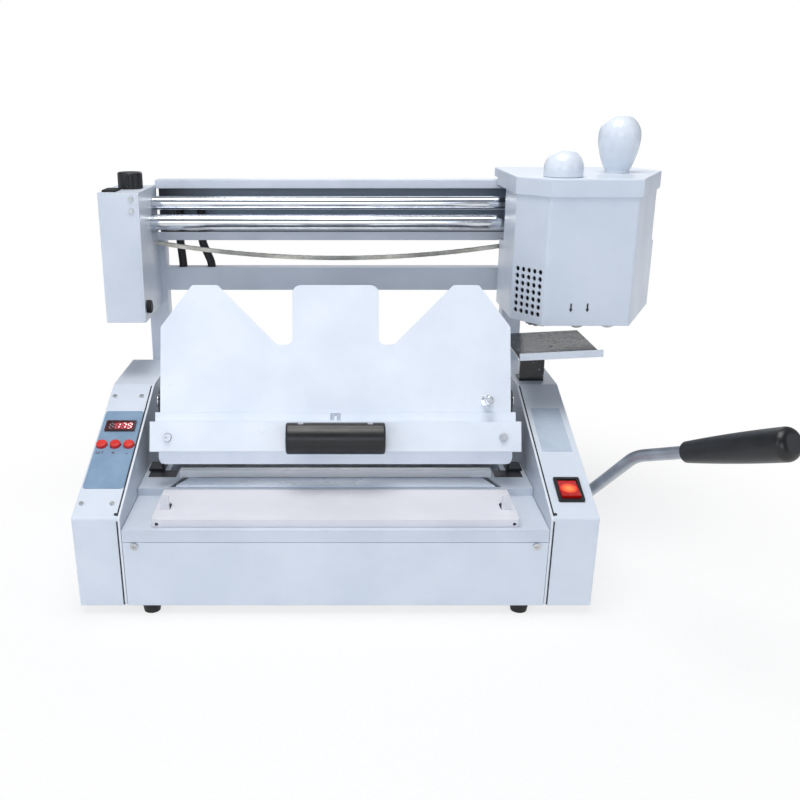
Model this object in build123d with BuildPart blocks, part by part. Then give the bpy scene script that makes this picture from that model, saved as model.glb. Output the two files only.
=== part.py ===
from build123d import *
from math import atan2, cos, degrees, pi, radians, sin, sqrt, tan
import os

# Desktop perfect binding machine for A4 books, in millimetres.
# Machine frame: X runs to the right from the middle of the body, Y runs back from
# the front knee of the body, Z runs up from the desk.

# Sheet steel, clearances and hardware
sheet = 1.5
plate = 2.0
gap = 0.4
fit_gap = 0.05
screw_head_radius = 3.6
screw_head_height = 1.8

# Body
body_half_width = 235.0
cabinet_width = 41.0
foot_height = 9.0
front_lean = 5.0
knee_height = 99.0
slope_depth = 191.0
top_height = 166.0
body_depth = 292.0
bend_radius = 3.0
foot_radius = 9.0
foot_inset = 64.0

# Press table
deck_height = 87.0
strip_height = 12.0
table_height = 94.5
table_half_width = 166.0
table_front = 7.0
table_back = 76.0
deck_back = 142.0
well_front = 124.6
well_half_width = 168.0
nip_rest_gap = 6.5
nip_depth = 20.0
nip_half_width = 155.0
nip_taper = 12.0
nip_bar_front = 105.5
nip_bar_height = 102.3
nip_bar_thickness = 8.0
tab_half_span = 159.0
tab_depth = 30.0
tab_height = 14.5
tab_width = 8.0
platform_drop = 2.6
platform_depth = 8.0

# Press lever and its shaft
shaft_depth = 117.0
shaft_height = 64.0
shaft_radius = 7.0
shaft_stand = 3.0
cam_radius = 14.0
cam_throw = 9.4
cam_width = 10.0
cam_span = 120.0
lever_radius = 5.6
hub_radius = 13.0
hub_length = 18.0
lever_reach = [(11.0, 0.0, 0.0), (35.0, -90.0, 84.0), (61.0, -140.0, 107.0)]
lever_bend = 60.0
grip_length = 104.0
grip_start_radius = 9.2
grip_radius = 13.6
grip_end_round = 7.0

# Clamp: the plate leans back by clamp_lean in the photographed pose
pivot_depth = 134.0
pivot_height = 166.0
clamp_lean = 19.0
plate_offset = 28.5
plate_below = 62.0
plate_above = 112.0
plate_half_width = 170.5
notch_depth = 58.0
middle_tooth_half = 42.0
side_tooth_inner = 115.0
side_tooth_outer = 140.0
corner_drop = 41.0
jaw_back_depth = 8.0
jaw_bar_half_width = 177.6
jaw_bar_height = 29.0
jaw_bar_depth = 15.0
flange_height = 9.0
lower_jaw_height = 12.0
stub_radius = 6.0
bush_radius = 8.0
ear_inner = 173.0
ear_thickness = 3.0
ear_radius = 11.0
arm_outer = 168.0
arm_thickness = 3.0
pin_radius = 4.2
pin_length = 20.0
grip_half_length = 47.0
clamp_grip_height = 30.0
clamp_grip_belly = 11.0
grip_pin_radius = 2.0
grip_knuckle = 8.4
grip_knuckle_gap = 0.8
lug_inset = 14.0
lug_width = 4.0
lug_reach = 3.0

# Upper frame
post_width = 22.0
post_depth = 20.0
cable_bend = 30.0
cable_spread = [(16.0, 18.0), (41.0, 51.0)]
cross_bar_bottom = 244.0
cross_bar_top = 270.0
beam_bottom = 302.0
beam_top = 368.4
beam_front = 305.0
beam_web = 22.0
beam_lip = 9.0
lower_rail_depth = 270.8
lower_rail_height = 326.2
lower_rail_radius = 8.5
upper_rail_depth = 281.6
upper_rail_height = 345.7
upper_rail_radius = 7.5
end_block_width = 42.0
end_block_offset = 7.0
end_block_front = 211.0
end_block_bottom = 228.0
end_block_top = 363.0
end_knob_radius = 13.0
end_knob_height = 17.0
end_knob_depth = 262.0

# Carriage
carriage_left = 181.0
carriage_right = 346.0
carriage_front = 156.0
carriage_back = 278.0
carriage_bottom = 237.6
carriage_top = 366.0
chamfer_width = 26.0
chamfer_depth = 36.0
right_front = 294.0
right_corner_depth = 264.0
rail_notch_depth = 253.0
rail_notch_height = 308.0
lid_top = 381.4
lid_back = 322.0
lid_back_right = 332.0
lid_back_skirt = 9.6
lid_lap = 1.6
lid_overlap = 2.0
vent_radius = 2.5
vent_pitch_across = 7.6
vent_pitch_up = 7.1
vent_middle = 31.5
vent_columns = 5
vent_rows = 7
block_left = 190.0
block_right = 334.0
block_front = 253.0
block_back = 296.0
block_bottom = 314.0
block_top = 358.0
chassis_bottom = 246.0
book_line = 181.0
roller_radius = 11.0
roller_length = 42.0
roller_bottom = 234.6
roller_left = 243.0
roller_right = 274.0
axle_radius = 3.0
cutter_place = 210.0
cutter_radius = 14.4
cutter_height = 5.0
tooth_count = 12
motor_radius = 14.0
motor_height = 58.0
spindle_radius = 4.0
tank_left = 228.0
tank_right = 290.0
tank_front = 164.0
tank_back = 236.0
tank_top = 304.0
dome_place = (224.0, 184.0)
dome_radius = 19.4
dome_height = 26.5
knob_place = (292.5, 240.0)
knob_radius = 21.2
knob_height = 58.0
knob_base_radius = 12.6
knob_foot = 3.0
stud_radius = 3.6
stud_length = 12.0
cap_sweep = 88.0

# Chain and its sprocket
chain_pitch = 6.35
chain_below_block = 11.5
chain_sag = 17.5
link_height = 5.2
link_thickness = 0.7
chain_roller_radius = 1.65
chain_roller_width = 3.0
chain_anchor_height = 4.0
sprocket_teeth = 12
sprocket_tooth = 0.3
sprocket_place = 208.0
sprocket_stub = 4.0

# Drip tray and loose ends
tray_left = 182.0
tray_right = 264.0
tray_front = 131.0
tray_back = 237.0
tray_clearance = 29.6
tray_tilt = 3.0
tray_lip = 7.0
cable_radius = 4.6

# Controls
panel_width = 38.0
panel_length = 116.0
panel_start = 39.0
panel_thickness = 0.6
display_width = 30.0
display_length = 16.0
display_along = 130.0
button_along = 101.0
button_radius = 5.2
button_height = 3.6
button_pitch = 13.2
button_travel = 1.5
button_gap = 0.35
switch_along = 37.0
rocker_width = 24.0
rocker_length = 32.0
rocker_margin = 3.0
rocker_end_gap = 1.0
rocker_pin_radius = 1.5

# Places worked out from the sizes above
cabinet_inner = body_half_width - cabinet_width
frame_inner = cabinet_inner - plate
panel_place = body_half_width - cabinet_width / 2
slope_angle = degrees(atan2(top_height - knee_height, slope_depth))
front_slope = front_lean / (knee_height - foot_height)
lean = radians(clamp_lean)
lever_points = [(body_half_width + x, shaft_depth + y, shaft_height + z) for x, y, z in lever_reach]
post_front = body_depth + 18.0
frame_depth = body_depth + 42.0
end_block_inner = cabinet_inner + end_block_offset
end_block_outer = end_block_inner + end_block_width
beam_left = -end_block_inner
beam_right = carriage_right - 5.0
cable_places = [(upper - cabinet_inner, lower - cabinet_inner) for upper, lower in cable_spread]
chain_line = block_bottom - chain_below_block
chain_depth = block_back - 11.0
sprocket_radius = chain_pitch / (2 * sin(pi / sprocket_teeth))
sprocket_height = chain_line - sprocket_radius
tray_height = carriage_bottom - tray_clearance
finished = []


def body_outline():
    """Corners of the body's side, seen from the right: local x is depth, y is height."""
    return [
        (front_lean, foot_height),
        (0, knee_height),
        (slope_depth, top_height),
        (body_depth, top_height),
        (body_depth, foot_height),
    ]


def round_bends(outline):
    """Bend radii at the knee and at the rear top edge of a body outline."""
    fillet(outline.vertices().sort_by(Axis.X)[0], bend_radius)
    fillet(outline.vertices().filter_by(lambda v: v.X > body_depth - 1).sort_by(Axis.Y)[-1], bend_radius)


def clamp_plane(up=0.0, front=0.0):
    """Plane on the clamp, its normal towards the operator, its local y up the plate."""
    along = (0, sin(lean), cos(lean))
    normal = (0, -cos(lean), sin(lean))
    origin = (
        0,
        pivot_depth + normal[1] * front + along[1] * up,
        pivot_height + normal[2] * front + along[2] * up,
    )
    return Plane(origin=origin, x_dir=(1, 0, 0), z_dir=normal)


def slope_plane(x, along):
    """Plane on the slanted top of a cabinet, its normal out of the slope."""
    angle = radians(slope_angle)
    origin = (x, along * cos(angle), knee_height + along * sin(angle))
    return Plane(origin=origin, x_dir=(1, 0, 0), z_dir=(0, -sin(angle), cos(angle)))


# Base pan: folded tray with a vent field and holes for the feet
pan_half = body_half_width - sheet - gap
with BuildPart() as base_pan:
    with BuildSketch(Plane.XY.offset(foot_height)):
        with Locations((0, (front_lean + sheet + gap + frame_depth) / 2)):
            Rectangle(2 * (frame_inner - gap), frame_depth - front_lean - sheet - gap)
        with Locations((0, (front_lean + sheet + gap + body_depth - sheet - gap) / 2)):
            Rectangle(2 * pan_half, body_depth - front_lean - 2 * (sheet + gap))
    extrude(amount=sheet)
    with BuildSketch(Plane.XY.offset(foot_height)):
        with Locations((0, frame_depth - sheet / 2)):
            Rectangle(2 * (frame_inner - gap), sheet)
    extrude(amount=14)
    with BuildSketch(Plane.XY.offset(foot_height)):
        for row in range(5):
            with Locations((0, 230 + 14 * row)):
                SlotOverall(120, 5)
    extrude(amount=sheet, mode=Mode.SUBTRACT)
base_pan.part.label = "base_pan"
finished.append(base_pan.part)

# Rubber feet: turned bumpers with a screw recess underneath
with BuildPart() as rubber_feet:
    with Locations(
        (-(body_half_width - foot_inset), foot_radius + front_lean),
        (body_half_width - foot_inset, foot_radius + front_lean),
        (-(body_half_width - foot_inset), body_depth - 24),
        (body_half_width - foot_inset, body_depth - 24),
    ):
        Cone(foot_radius - 1.5, foot_radius, foot_height, align=(Align.CENTER, Align.CENTER, Align.MIN))
    with Locations(
        (-(body_half_width - foot_inset), foot_radius + front_lean),
        (body_half_width - foot_inset, foot_radius + front_lean),
        (-(body_half_width - foot_inset), body_depth - 24),
        (body_half_width - foot_inset, body_depth - 24),
    ):
        Cylinder(3.2, 5, align=(Align.CENTER, Align.CENTER, Align.MIN), mode=Mode.SUBTRACT)
rubber_feet.part.label = "rubber_feet"
finished.append(rubber_feet.part)

# Side frames: the plates that close the cabinets and carry the press shaft and the posts
with BuildPart() as side_frames:
    for start in (-cabinet_inner, frame_inner):
        with BuildSketch(Plane.YZ.offset(start)) as outline:
            Polygon(*body_outline(), align=None)
            round_bends(outline)
            Polygon(
                (body_depth - 40, foot_height),
                (frame_depth, foot_height),
                (frame_depth, top_height - 30),
                (body_depth - 10, top_height - 10),
                (body_depth - 40, top_height - 10),
                align=None,
            )
            with Locations((shaft_depth, shaft_height)):
                Circle(shaft_radius + fit_gap, mode=Mode.SUBTRACT)
            with Locations((frame_depth / 2, foot_height + sheet / 2)):
                Rectangle(frame_depth, sheet, mode=Mode.SUBTRACT)
        extrude(amount=plate)
side_frames.part.label = "side_frames"
finished.append(side_frames.part)

# Cabinet covers: bent steel shells, open below and on the side of the frame plate
with BuildPart() as left_cabinet_cover:
    with BuildSketch(Plane.YZ.offset(-body_half_width)) as outline:
        Polygon(*body_outline(), align=None)
        round_bends(outline)
    extrude(amount=cabinet_width)
    shell_openings = [
        left_cabinet_cover.faces().sort_by(Axis.X)[-1],
        left_cabinet_cover.faces().sort_by(Axis.Z)[0],
    ]
    offset(amount=-sheet, openings=shell_openings)
    with BuildSketch(slope_plane(-panel_place, display_along)):
        Rectangle(display_width - 2, display_length - 2)
    extrude(amount=-2 * sheet, mode=Mode.SUBTRACT)
    with BuildSketch(slope_plane(-panel_place, button_along)):
        with GridLocations(button_pitch, 1, 3, 1):
            Circle(button_radius + 2 * button_gap)
    extrude(amount=-2 * sheet, mode=Mode.SUBTRACT)
left_cabinet_cover.part.label = "left_cabinet_cover"
finished.append(left_cabinet_cover.part)

with BuildPart() as right_cabinet_cover:
    with BuildSketch(Plane.YZ.offset(cabinet_inner)) as outline:
        Polygon(*body_outline(), align=None)
        round_bends(outline)
    extrude(amount=cabinet_width)
    shell_openings = [
        right_cabinet_cover.faces().sort_by(Axis.X)[0],
        right_cabinet_cover.faces().sort_by(Axis.Z)[0],
    ]
    offset(amount=-sheet, openings=shell_openings)
    with BuildSketch(slope_plane(panel_place, switch_along)):
        Rectangle(rocker_width - 2, rocker_length - 2)
    extrude(amount=-2 * sheet, mode=Mode.SUBTRACT)
    with BuildSketch(Plane.YZ.offset(body_half_width)):
        with Locations((shaft_depth, shaft_height)):
            Circle(shaft_radius + 3)
    extrude(amount=-2 * sheet, mode=Mode.SUBTRACT)
right_cabinet_cover.part.label = "right_cabinet_cover"
finished.append(right_cabinet_cover.part)

# Front panel: leaning sheet between the cabinets, with folded top and bottom edges
panel_top = deck_height - strip_height - gap
with BuildPart() as front_panel:
    with BuildSketch(Plane.YZ.offset(-frame_inner + gap)):
        with BuildLine():
            Polyline(
                (front_lean, foot_height),
                (front_slope * (knee_height - panel_top), panel_top),
                (front_slope * (knee_height - panel_top) + 14, panel_top),
                (front_slope * (knee_height - panel_top) + 14, panel_top - sheet),
                (front_slope * (knee_height - panel_top) + sheet, panel_top - sheet),
                (front_lean + sheet, foot_height),
                close=True,
            )
        make_face()
    extrude(amount=2 * (frame_inner - gap))
front_panel.part.label = "front_panel"
finished.append(front_panel.part)

# Deck: stepped sheet with a folded front strip and the slot of the spine platform
deck_front = front_slope * (knee_height - deck_height)
strip_foot = front_slope * (knee_height - deck_height + strip_height)
with BuildPart() as deck:
    with BuildSketch(Plane.YZ.offset(-frame_inner + gap)):
        with BuildLine():
            Polyline(
                (strip_foot, deck_height - strip_height),
                (deck_front, deck_height),
                (table_back + 2, deck_height),
                (table_back + 2, table_height),
                (deck_back, table_height),
                (deck_back, table_height - 14),
                (deck_back - sheet, table_height - 14),
                (deck_back - sheet, table_height - sheet),
                (table_back + 2 + sheet, table_height - sheet),
                (table_back + 2 + sheet, deck_height - sheet),
                (deck_front + sheet, deck_height - sheet),
                (strip_foot + sheet, deck_height - strip_height),
                close=True,
            )
        make_face()
    extrude(amount=2 * (frame_inner - gap))
    with BuildSketch(Plane.XY.offset(table_height)):
        for side in (-1, 1):
            with BuildLine():
                Polyline(
                    (side * (nip_half_width + 1), table_back + 2 + 2 * sheet),
                    (side * (nip_half_width + 7), table_back + 2 + 2 * sheet),
                    (side * (nip_half_width - 4), nip_bar_front + 4),
                    (side * (nip_half_width - 12), nip_bar_front + 4),
                    close=True,
                )
            make_face()
        with Locations((0, nip_bar_front - 1 - platform_depth / 2)):
            Rectangle(2 * cam_span + 30, platform_depth + 2)
    extrude(amount=-sheet, mode=Mode.SUBTRACT)
    with BuildSketch(Plane.XY.offset(table_height)):
        with Locations((0, (well_front + deck_back + 1) / 2)):
            Rectangle(2 * well_half_width, deck_back + 1 - well_front)
    extrude(amount=-20, mode=Mode.SUBTRACT)
deck.part.label = "deck"
finished.append(deck.part)

# Cover table: shallow pan that the cover lies on, with two register tabs bent up from it
table_low = deck_height + 0.3
with BuildPart() as cover_table:
    with BuildSketch(Plane.XY.offset(table_low)):
        with Locations((0, (table_front + table_back) / 2)):
            Rectangle(2 * table_half_width, table_back - table_front)
    extrude(amount=table_height - table_low)
    fillet(cover_table.edges().filter_by(Axis.Z).group_by(Axis.Y)[0], 3)
    offset(amount=-sheet, openings=[
        cover_table.faces().sort_by(Axis.Z)[0],
        cover_table.faces().sort_by(Axis.Y)[-1],
    ])
    with BuildSketch(Plane.XY.offset(table_height)):
        for side in (-1, 1):
            with Locations((side * tab_half_span * 0.985, tab_depth + 7)):
                SlotOverall(tab_height + 2, tab_width + 1, rotation=90)
    extrude(amount=-sheet, mode=Mode.SUBTRACT)
    for side in (-1, 1):
        with BuildSketch(Plane.XZ.offset(-tab_depth)):
            with Locations((side * tab_half_span * 0.985, table_height + tab_height / 2 - sheet / 2)):
                RectangleRounded(tab_width, tab_height + sheet, 2.4)
        extrude(amount=sheet)
    with BuildSketch(Plane.XZ.offset(-table_front)):
        for side in (-1, 1):
            with Locations((side * (table_half_width - 5), table_height - 4.5)):
                Circle(1.6)
    extrude(amount=-sheet, mode=Mode.SUBTRACT)
cover_table.part.label = "cover_table"
finished.append(cover_table.part)

# Front nip plate: tapered sheet that slides over the table towards the rear nip bar
nip_back = nip_bar_front - nip_rest_gap
nip_low = table_height + 0.3
with BuildPart() as front_nip_plate:
    with BuildSketch(Plane.XY.offset(nip_low)):
        with BuildLine():
            Polyline(
                (-nip_half_width, nip_back - nip_depth),
                (nip_half_width, nip_back - nip_depth),
                (nip_half_width - nip_taper * 0.8, nip_back),
                (-nip_half_width + nip_taper * 0.8, nip_back),
                close=True,
            )
        make_face()
    extrude(amount=plate)
    chamfer(front_nip_plate.edges().group_by(Axis.Y)[0].group_by(Axis.Z)[-1], 0.8)
front_nip_plate.part.label = "front_nip_plate"
finished.append(front_nip_plate.part)

# Rear nip bar: the fixed white jaw behind the book's spine
with BuildPart() as rear_nip_bar:
    with BuildSketch(Plane.YZ.offset(-nip_half_width)):
        with BuildLine():
            Polyline(
                (nip_bar_front, table_height + 0.01),
                (nip_bar_front, nip_bar_height),
                (nip_bar_front + nip_bar_thickness, nip_bar_height),
                (nip_bar_front + nip_bar_thickness, table_height + 3),
                (nip_bar_front + nip_bar_thickness + 10, table_height + 3),
                (nip_bar_front + nip_bar_thickness + 10, table_height + 0.01),
                close=True,
            )
        make_face()
    extrude(amount=2 * nip_half_width)
    chamfer(rear_nip_bar.edges().filter_by(Axis.X).group_by(Axis.Z)[-1], 0.7)
rear_nip_bar.part.label = "rear_nip_bar"
finished.append(rear_nip_bar.part)

# Spine platform: the bar below the nip that the cams push up under the cover
foot_level = shaft_height + cam_radius + 0.3
platform_top = table_height - platform_drop - 4
with BuildPart() as spine_platform:
    with BuildSketch(Plane.XY.offset(foot_level)):
        with Locations((0, nip_bar_front - 1 - platform_depth / 2)):
            Rectangle(2 * cam_span + 24, platform_depth)
    extrude(amount=platform_top - foot_level)
    with BuildSketch(Plane.XY.offset(foot_level)):
        for side in (-1, 1):
            with Locations((side * cam_span, (nip_bar_front - 1 + deck_back - 8) / 2)):
                Rectangle(cam_width + 8, deck_back - 8 - nip_bar_front + 1)
    extrude(amount=3)
    chamfer(spine_platform.faces().sort_by(Axis.Z)[-1].edges(), 0.6)
spine_platform.part.label = "spine_platform"
finished.append(spine_platform.part)

# Press shaft with its two eccentric cams
with BuildPart() as press_shaft:
    with BuildSketch(Plane.YZ.offset(-cabinet_inner - shaft_stand)):
        with Locations((shaft_depth, shaft_height)):
            Circle(shaft_radius)
    extrude(amount=cabinet_inner + shaft_stand + body_half_width + shaft_stand)
    chamfer(press_shaft.edges().sort_by(Axis.X)[0], 1)
    for side in (-1, 1):
        with BuildSketch(Plane.YZ.offset(side * cam_span - cam_width / 2)):
            with Locations((shaft_depth + cam_throw, shaft_height)):
                Circle(cam_radius)
        extrude(amount=cam_width)
press_shaft.part.label = "press_shaft"
finished.append(press_shaft.part)

# Lever hub, bent rod and tapered grip
hub_start = body_half_width + 1.0
with BuildPart() as lever_hub:
    with BuildSketch(Plane.YZ.offset(hub_start)):
        with Locations((shaft_depth, shaft_height)):
            Circle(hub_radius)
    extrude(amount=hub_length)
    with BuildSketch(Plane.YZ.offset(hub_start)):
        with Locations((shaft_depth, shaft_height)):
            Circle(shaft_radius + 0.01)
    extrude(amount=2, mode=Mode.SUBTRACT)
    fillet(lever_hub.edges().sort_by(Axis.X)[-1], 2)
lever_hub.part.label = "lever_hub"
finished.append(lever_hub.part)

lever_end = Vector(*lever_points[2])
lever_direction = (lever_end - Vector(*lever_points[1])).normalized()
rod_seat = 20.0
with BuildPart() as lever_rod:
    with BuildLine() as lever_path:
        FilletPolyline(lever_points[0], lever_points[1], tuple(lever_end + lever_direction * rod_seat), radius=lever_bend)
    rod_start = Vector(*lever_points[0])
    rod_direction = (Vector(*lever_points[1]) - rod_start).normalized()
    with BuildSketch(Plane(origin=rod_start, z_dir=rod_direction)):
        Circle(lever_radius)
    sweep()
    with BuildSketch(Plane.YZ.offset(hub_start + hub_length)):
        with Locations((shaft_depth, shaft_height)):
            Circle(30)
    extrude(amount=-40, mode=Mode.SUBTRACT)
lever_rod.part.label = "lever_rod"
finished.append(lever_rod.part)

grip_side = lever_direction.cross(Vector(1, 0, 0)).normalized()
grip_plane = Plane(origin=lever_end, x_dir=lever_direction, z_dir=grip_side)
with BuildPart() as lever_grip:
    with BuildSketch(grip_plane):
        with BuildLine():
            Polyline(
                (rod_seat + 1, 0),
                (rod_seat + 1, lever_radius + fit_gap),
                (0, lever_radius + fit_gap),
                (0, grip_start_radius),
            )
            ThreePointArc(
                (0, grip_start_radius),
                (grip_length * 0.5, grip_radius - 1.2),
                (grip_length - grip_end_round, grip_radius),
            )
            ThreePointArc(
                (grip_length - grip_end_round, grip_radius),
                (grip_length - 2, grip_radius - 2.2),
                (grip_length, grip_radius - 6),
            )
            Polyline((grip_length, grip_radius - 6), (grip_length, 0), (rod_seat + 1, 0))
        make_face()
    revolve(axis=Axis(lever_end, lever_direction))
lever_grip.part.label = "lever_grip"
finished.append(lever_grip.part)

# Clamp back plate: the W shaped plate that the book leans on
with BuildPart() as back_plate:
    with BuildSketch(clamp_plane(front=plate_offset)) as outline:
        with BuildLine():
            Polyline(
                (0, plate_above),
                (middle_tooth_half, plate_above),
                (middle_tooth_half, plate_above - notch_depth),
                (side_tooth_inner - notch_depth, plate_above - notch_depth),
                (side_tooth_inner, plate_above),
                (side_tooth_outer, plate_above),
                (plate_half_width, plate_above - corner_drop),
                (plate_half_width, -plate_below),
                (0, -plate_below),
                close=True,
            )
        make_face()
        valley = plate_above - notch_depth
        right = outline.vertices().filter_by(lambda v: v.X > 1)
        fillet(right.filter_by(lambda v: v.X < middle_tooth_half + 1 and v.Y > valley + 1), 8)
        right = outline.vertices().filter_by(lambda v: v.X > 1)
        fillet(right.filter_by(lambda v: v.X < side_tooth_inner - 1 and abs(v.Y - valley) < 1), 6)
        right = outline.vertices().filter_by(lambda v: v.X > side_tooth_inner - 1)
        fillet(right, 3)
        mirror(about=Plane.YZ)
    extrude(amount=-plate)
back_plate.part.label = "back_plate"
finished.append(back_plate.part)

# Back jaw: solid bar that stiffens the plate behind the spine edge
with BuildPart() as back_jaw:
    with BuildSketch(clamp_plane(front=plate_offset - plate)):
        with Locations((0, -plate_below + 15)):
            Rectangle(2 * plate_half_width - 6, 30)
    extrude(amount=-jaw_back_depth)
    chamfer(back_jaw.edges().filter_by(Axis.X).sort_by(Axis.Y)[-2:], 2)
back_jaw.part.label = "back_jaw"
finished.append(back_jaw.part)

# Clamp arms: end brackets behind the plate with the pivot stubs
clamp_side = Plane(origin=clamp_plane().origin, x_dir=clamp_plane().z_dir, z_dir=(-1, 0, 0))
stub_end = ear_inner + ear_thickness + 2
with BuildPart() as clamp_arms:
    for side in (-1, 1):
        with BuildSketch(clamp_side.offset(-side * arm_outer)):
            Polygon((plate_offset - plate, 26), (plate_offset - plate, -26), (6, -13), (6, 13), align=None)
            Circle(13)
        extrude(amount=side * arm_thickness)
        with BuildSketch(clamp_side.offset(-side * (arm_outer - arm_thickness))):
            with Locations((plate_offset - plate - arm_thickness / 2, 0)):
                Rectangle(arm_thickness, 52)
        extrude(amount=side * 14)
        with BuildSketch(clamp_side.offset(-side * arm_outer)):
            Circle(stub_radius)
        extrude(amount=-side * (stub_end - arm_outer))
clamp_arms.part.label = "clamp_arms"
finished.append(clamp_arms.part)

# Pivot ears: upright lugs on the deck, beside the clamp
ear_front = pivot_depth - 12
ear_back = deck_back - 1
with BuildPart() as pivot_ears:
    for side in (-1, 1):
        with BuildSketch(Plane.YZ.offset(side * ear_inner)):
            Polygon(
                (ear_front, table_height),
                (ear_back, table_height),
                (pivot_depth + ear_radius - 1, pivot_height),
                (pivot_depth - ear_radius + 1, pivot_height),
                align=None,
            )
            with Locations((pivot_depth, pivot_height)):
                Circle(ear_radius)
                Circle(bush_radius, mode=Mode.SUBTRACT)
        extrude(amount=side * ear_thickness)
        with BuildSketch(Plane.XY.offset(table_height)):
            with Locations((side * (ear_inner + 8), (ear_front + ear_back) / 2)):
                Rectangle(16, ear_back - ear_front)
        extrude(amount=ear_thickness)
pivot_ears.part.label = "pivot_ears"
finished.append(pivot_ears.part)

# Pivot bushes: flanged sleeves in the ears
with BuildPart() as pivot_bushes:
    for side in (-1, 1):
        with BuildSketch(Plane.YZ.offset(side * ear_inner)):
            with Locations((pivot_depth, pivot_height)):
                Circle(bush_radius)
                Circle(stub_radius + fit_gap, mode=Mode.SUBTRACT)
        extrude(amount=side * ear_thickness)
        with BuildSketch(Plane.YZ.offset(side * ear_inner)):
            with Locations((pivot_depth, pivot_height)):
                Circle(bush_radius + 2)
                Circle(stub_radius + fit_gap, mode=Mode.SUBTRACT)
        extrude(amount=-side * 2)
pivot_bushes.part.label = "pivot_bushes"
finished.append(pivot_bushes.part)

# Register pin on the plate, with a turned collar
pin_place = 147.0
with BuildPart() as register_pin:
    with BuildSketch(clamp_plane(front=plate_offset)):
        with Locations((pin_place, -1)):
            Circle(pin_radius + 1.4)
    extrude(amount=2)
    with BuildSketch(clamp_plane(front=plate_offset)):
        with Locations((pin_place, -1)):
            Circle(pin_radius)
    extrude(amount=pin_length)
    fillet(register_pin.faces().sort_by(Axis.Y)[0].edges(), 1)
register_pin.part.label = "register_pin"
finished.append(register_pin.part)

# Front jaw: flanged angle, front bar and lower plate, one stack in front of the book
jaw_back = plate_offset + gap
bar_low = -plate_below + lower_jaw_height
with BuildPart() as jaw_angle:
    with BuildSketch(clamp_plane(front=jaw_back)):
        with Locations((0, (bar_low + bar_low + jaw_bar_height + flange_height) / 2)):
            Rectangle(2 * jaw_bar_half_width - 6, jaw_bar_height + flange_height)
    extrude(amount=3)
    with BuildSketch(clamp_plane(front=jaw_back)):
        with Locations((0, bar_low + jaw_bar_height + flange_height / 2)):
            Rectangle(9.6, 6.8)
    extrude(amount=3, mode=Mode.SUBTRACT)
    with BuildSketch(clamp_plane(front=jaw_back)):
        with Locations((0, bar_low + jaw_bar_height + flange_height / 2 - 1.2)):
            Rectangle(3.2, 4.4)
    extrude(amount=3)
    with BuildSketch(clamp_plane(front=jaw_back)) as outline:
        with Locations((0, (bar_low - plate_below) / 2)):
            Rectangle(2 * plate_half_width, lower_jaw_height)
        fillet(outline.vertices().sort_by(Axis.Y)[:2], 7)
    extrude(amount=6)
jaw_angle.part.label = "jaw_angle"
finished.append(jaw_angle.part)

with BuildPart() as jaw_bar:
    with BuildSketch(clamp_plane(front=jaw_back + 3)):
        with Locations((0, bar_low + jaw_bar_height / 2)):
            Rectangle(2 * jaw_bar_half_width, jaw_bar_height)
    extrude(amount=jaw_bar_depth - 3)
    fillet(jaw_bar.edges().filter_by(Axis.X).group_by(Axis.Y)[0], 1)
    with BuildSketch(clamp_plane(front=jaw_back + 3)):
        with Locations((0, bar_low + jaw_bar_height / 2)):
            Rectangle(2 * jaw_bar_half_width - 24, jaw_bar_height - 6)
    extrude(amount=jaw_bar_depth - 6, mode=Mode.SUBTRACT)
jaw_bar.part.label = "jaw_bar"
finished.append(jaw_bar.part)

jaw_screw_span = 160.6
with BuildPart() as jaw_screws:
    with BuildSketch(clamp_plane(front=jaw_back + jaw_bar_depth)):
        with Locations((-jaw_screw_span, bar_low + 14), (jaw_screw_span, bar_low + 14)):
            Circle(screw_head_radius + 0.6)
    extrude(amount=screw_head_height + 0.6, taper=12)
    with BuildSketch(clamp_plane(front=jaw_back + jaw_bar_depth + screw_head_height + 0.6)):
        with Locations((-jaw_screw_span, bar_low + 14), (jaw_screw_span, bar_low + 14)):
            RegularPolygon(1.6, 6)
    extrude(amount=-1.2, mode=Mode.SUBTRACT)
jaw_screws.part.label = "jaw_screws"
finished.append(jaw_screws.part)

# Clamp grip: moulded handle that turns up on a pin between two lugs on the bar
grip_top = bar_low + jaw_bar_height - 1
grip_pin_front = jaw_back + jaw_bar_depth + grip_knuckle + grip_knuckle_gap
grip_pin_up = grip_top - grip_knuckle
grip_back = grip_pin_front - grip_knuckle
grip_low = grip_top - clamp_grip_height
lug_places = (-grip_half_length + lug_inset, grip_half_length - lug_inset)
with BuildPart() as grip_lugs:
    with BuildSketch(clamp_plane(front=jaw_back + jaw_bar_depth)):
        with Locations(*[(place, grip_pin_up) for place in lug_places]):
            Rectangle(lug_width, 2 * lug_reach)
    extrude(amount=grip_knuckle + grip_knuckle_gap + lug_reach)
    with BuildSketch(Plane.YZ.offset(-grip_half_length + 8)):
        pin_origin = clamp_plane(up=grip_pin_up, front=grip_pin_front).origin
        with Locations((pin_origin.Y, pin_origin.Z)):
            Circle(grip_pin_radius)
    extrude(amount=2 * grip_half_length - 16)
grip_lugs.part.label = "grip_lugs"
finished.append(grip_lugs.part)

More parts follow.
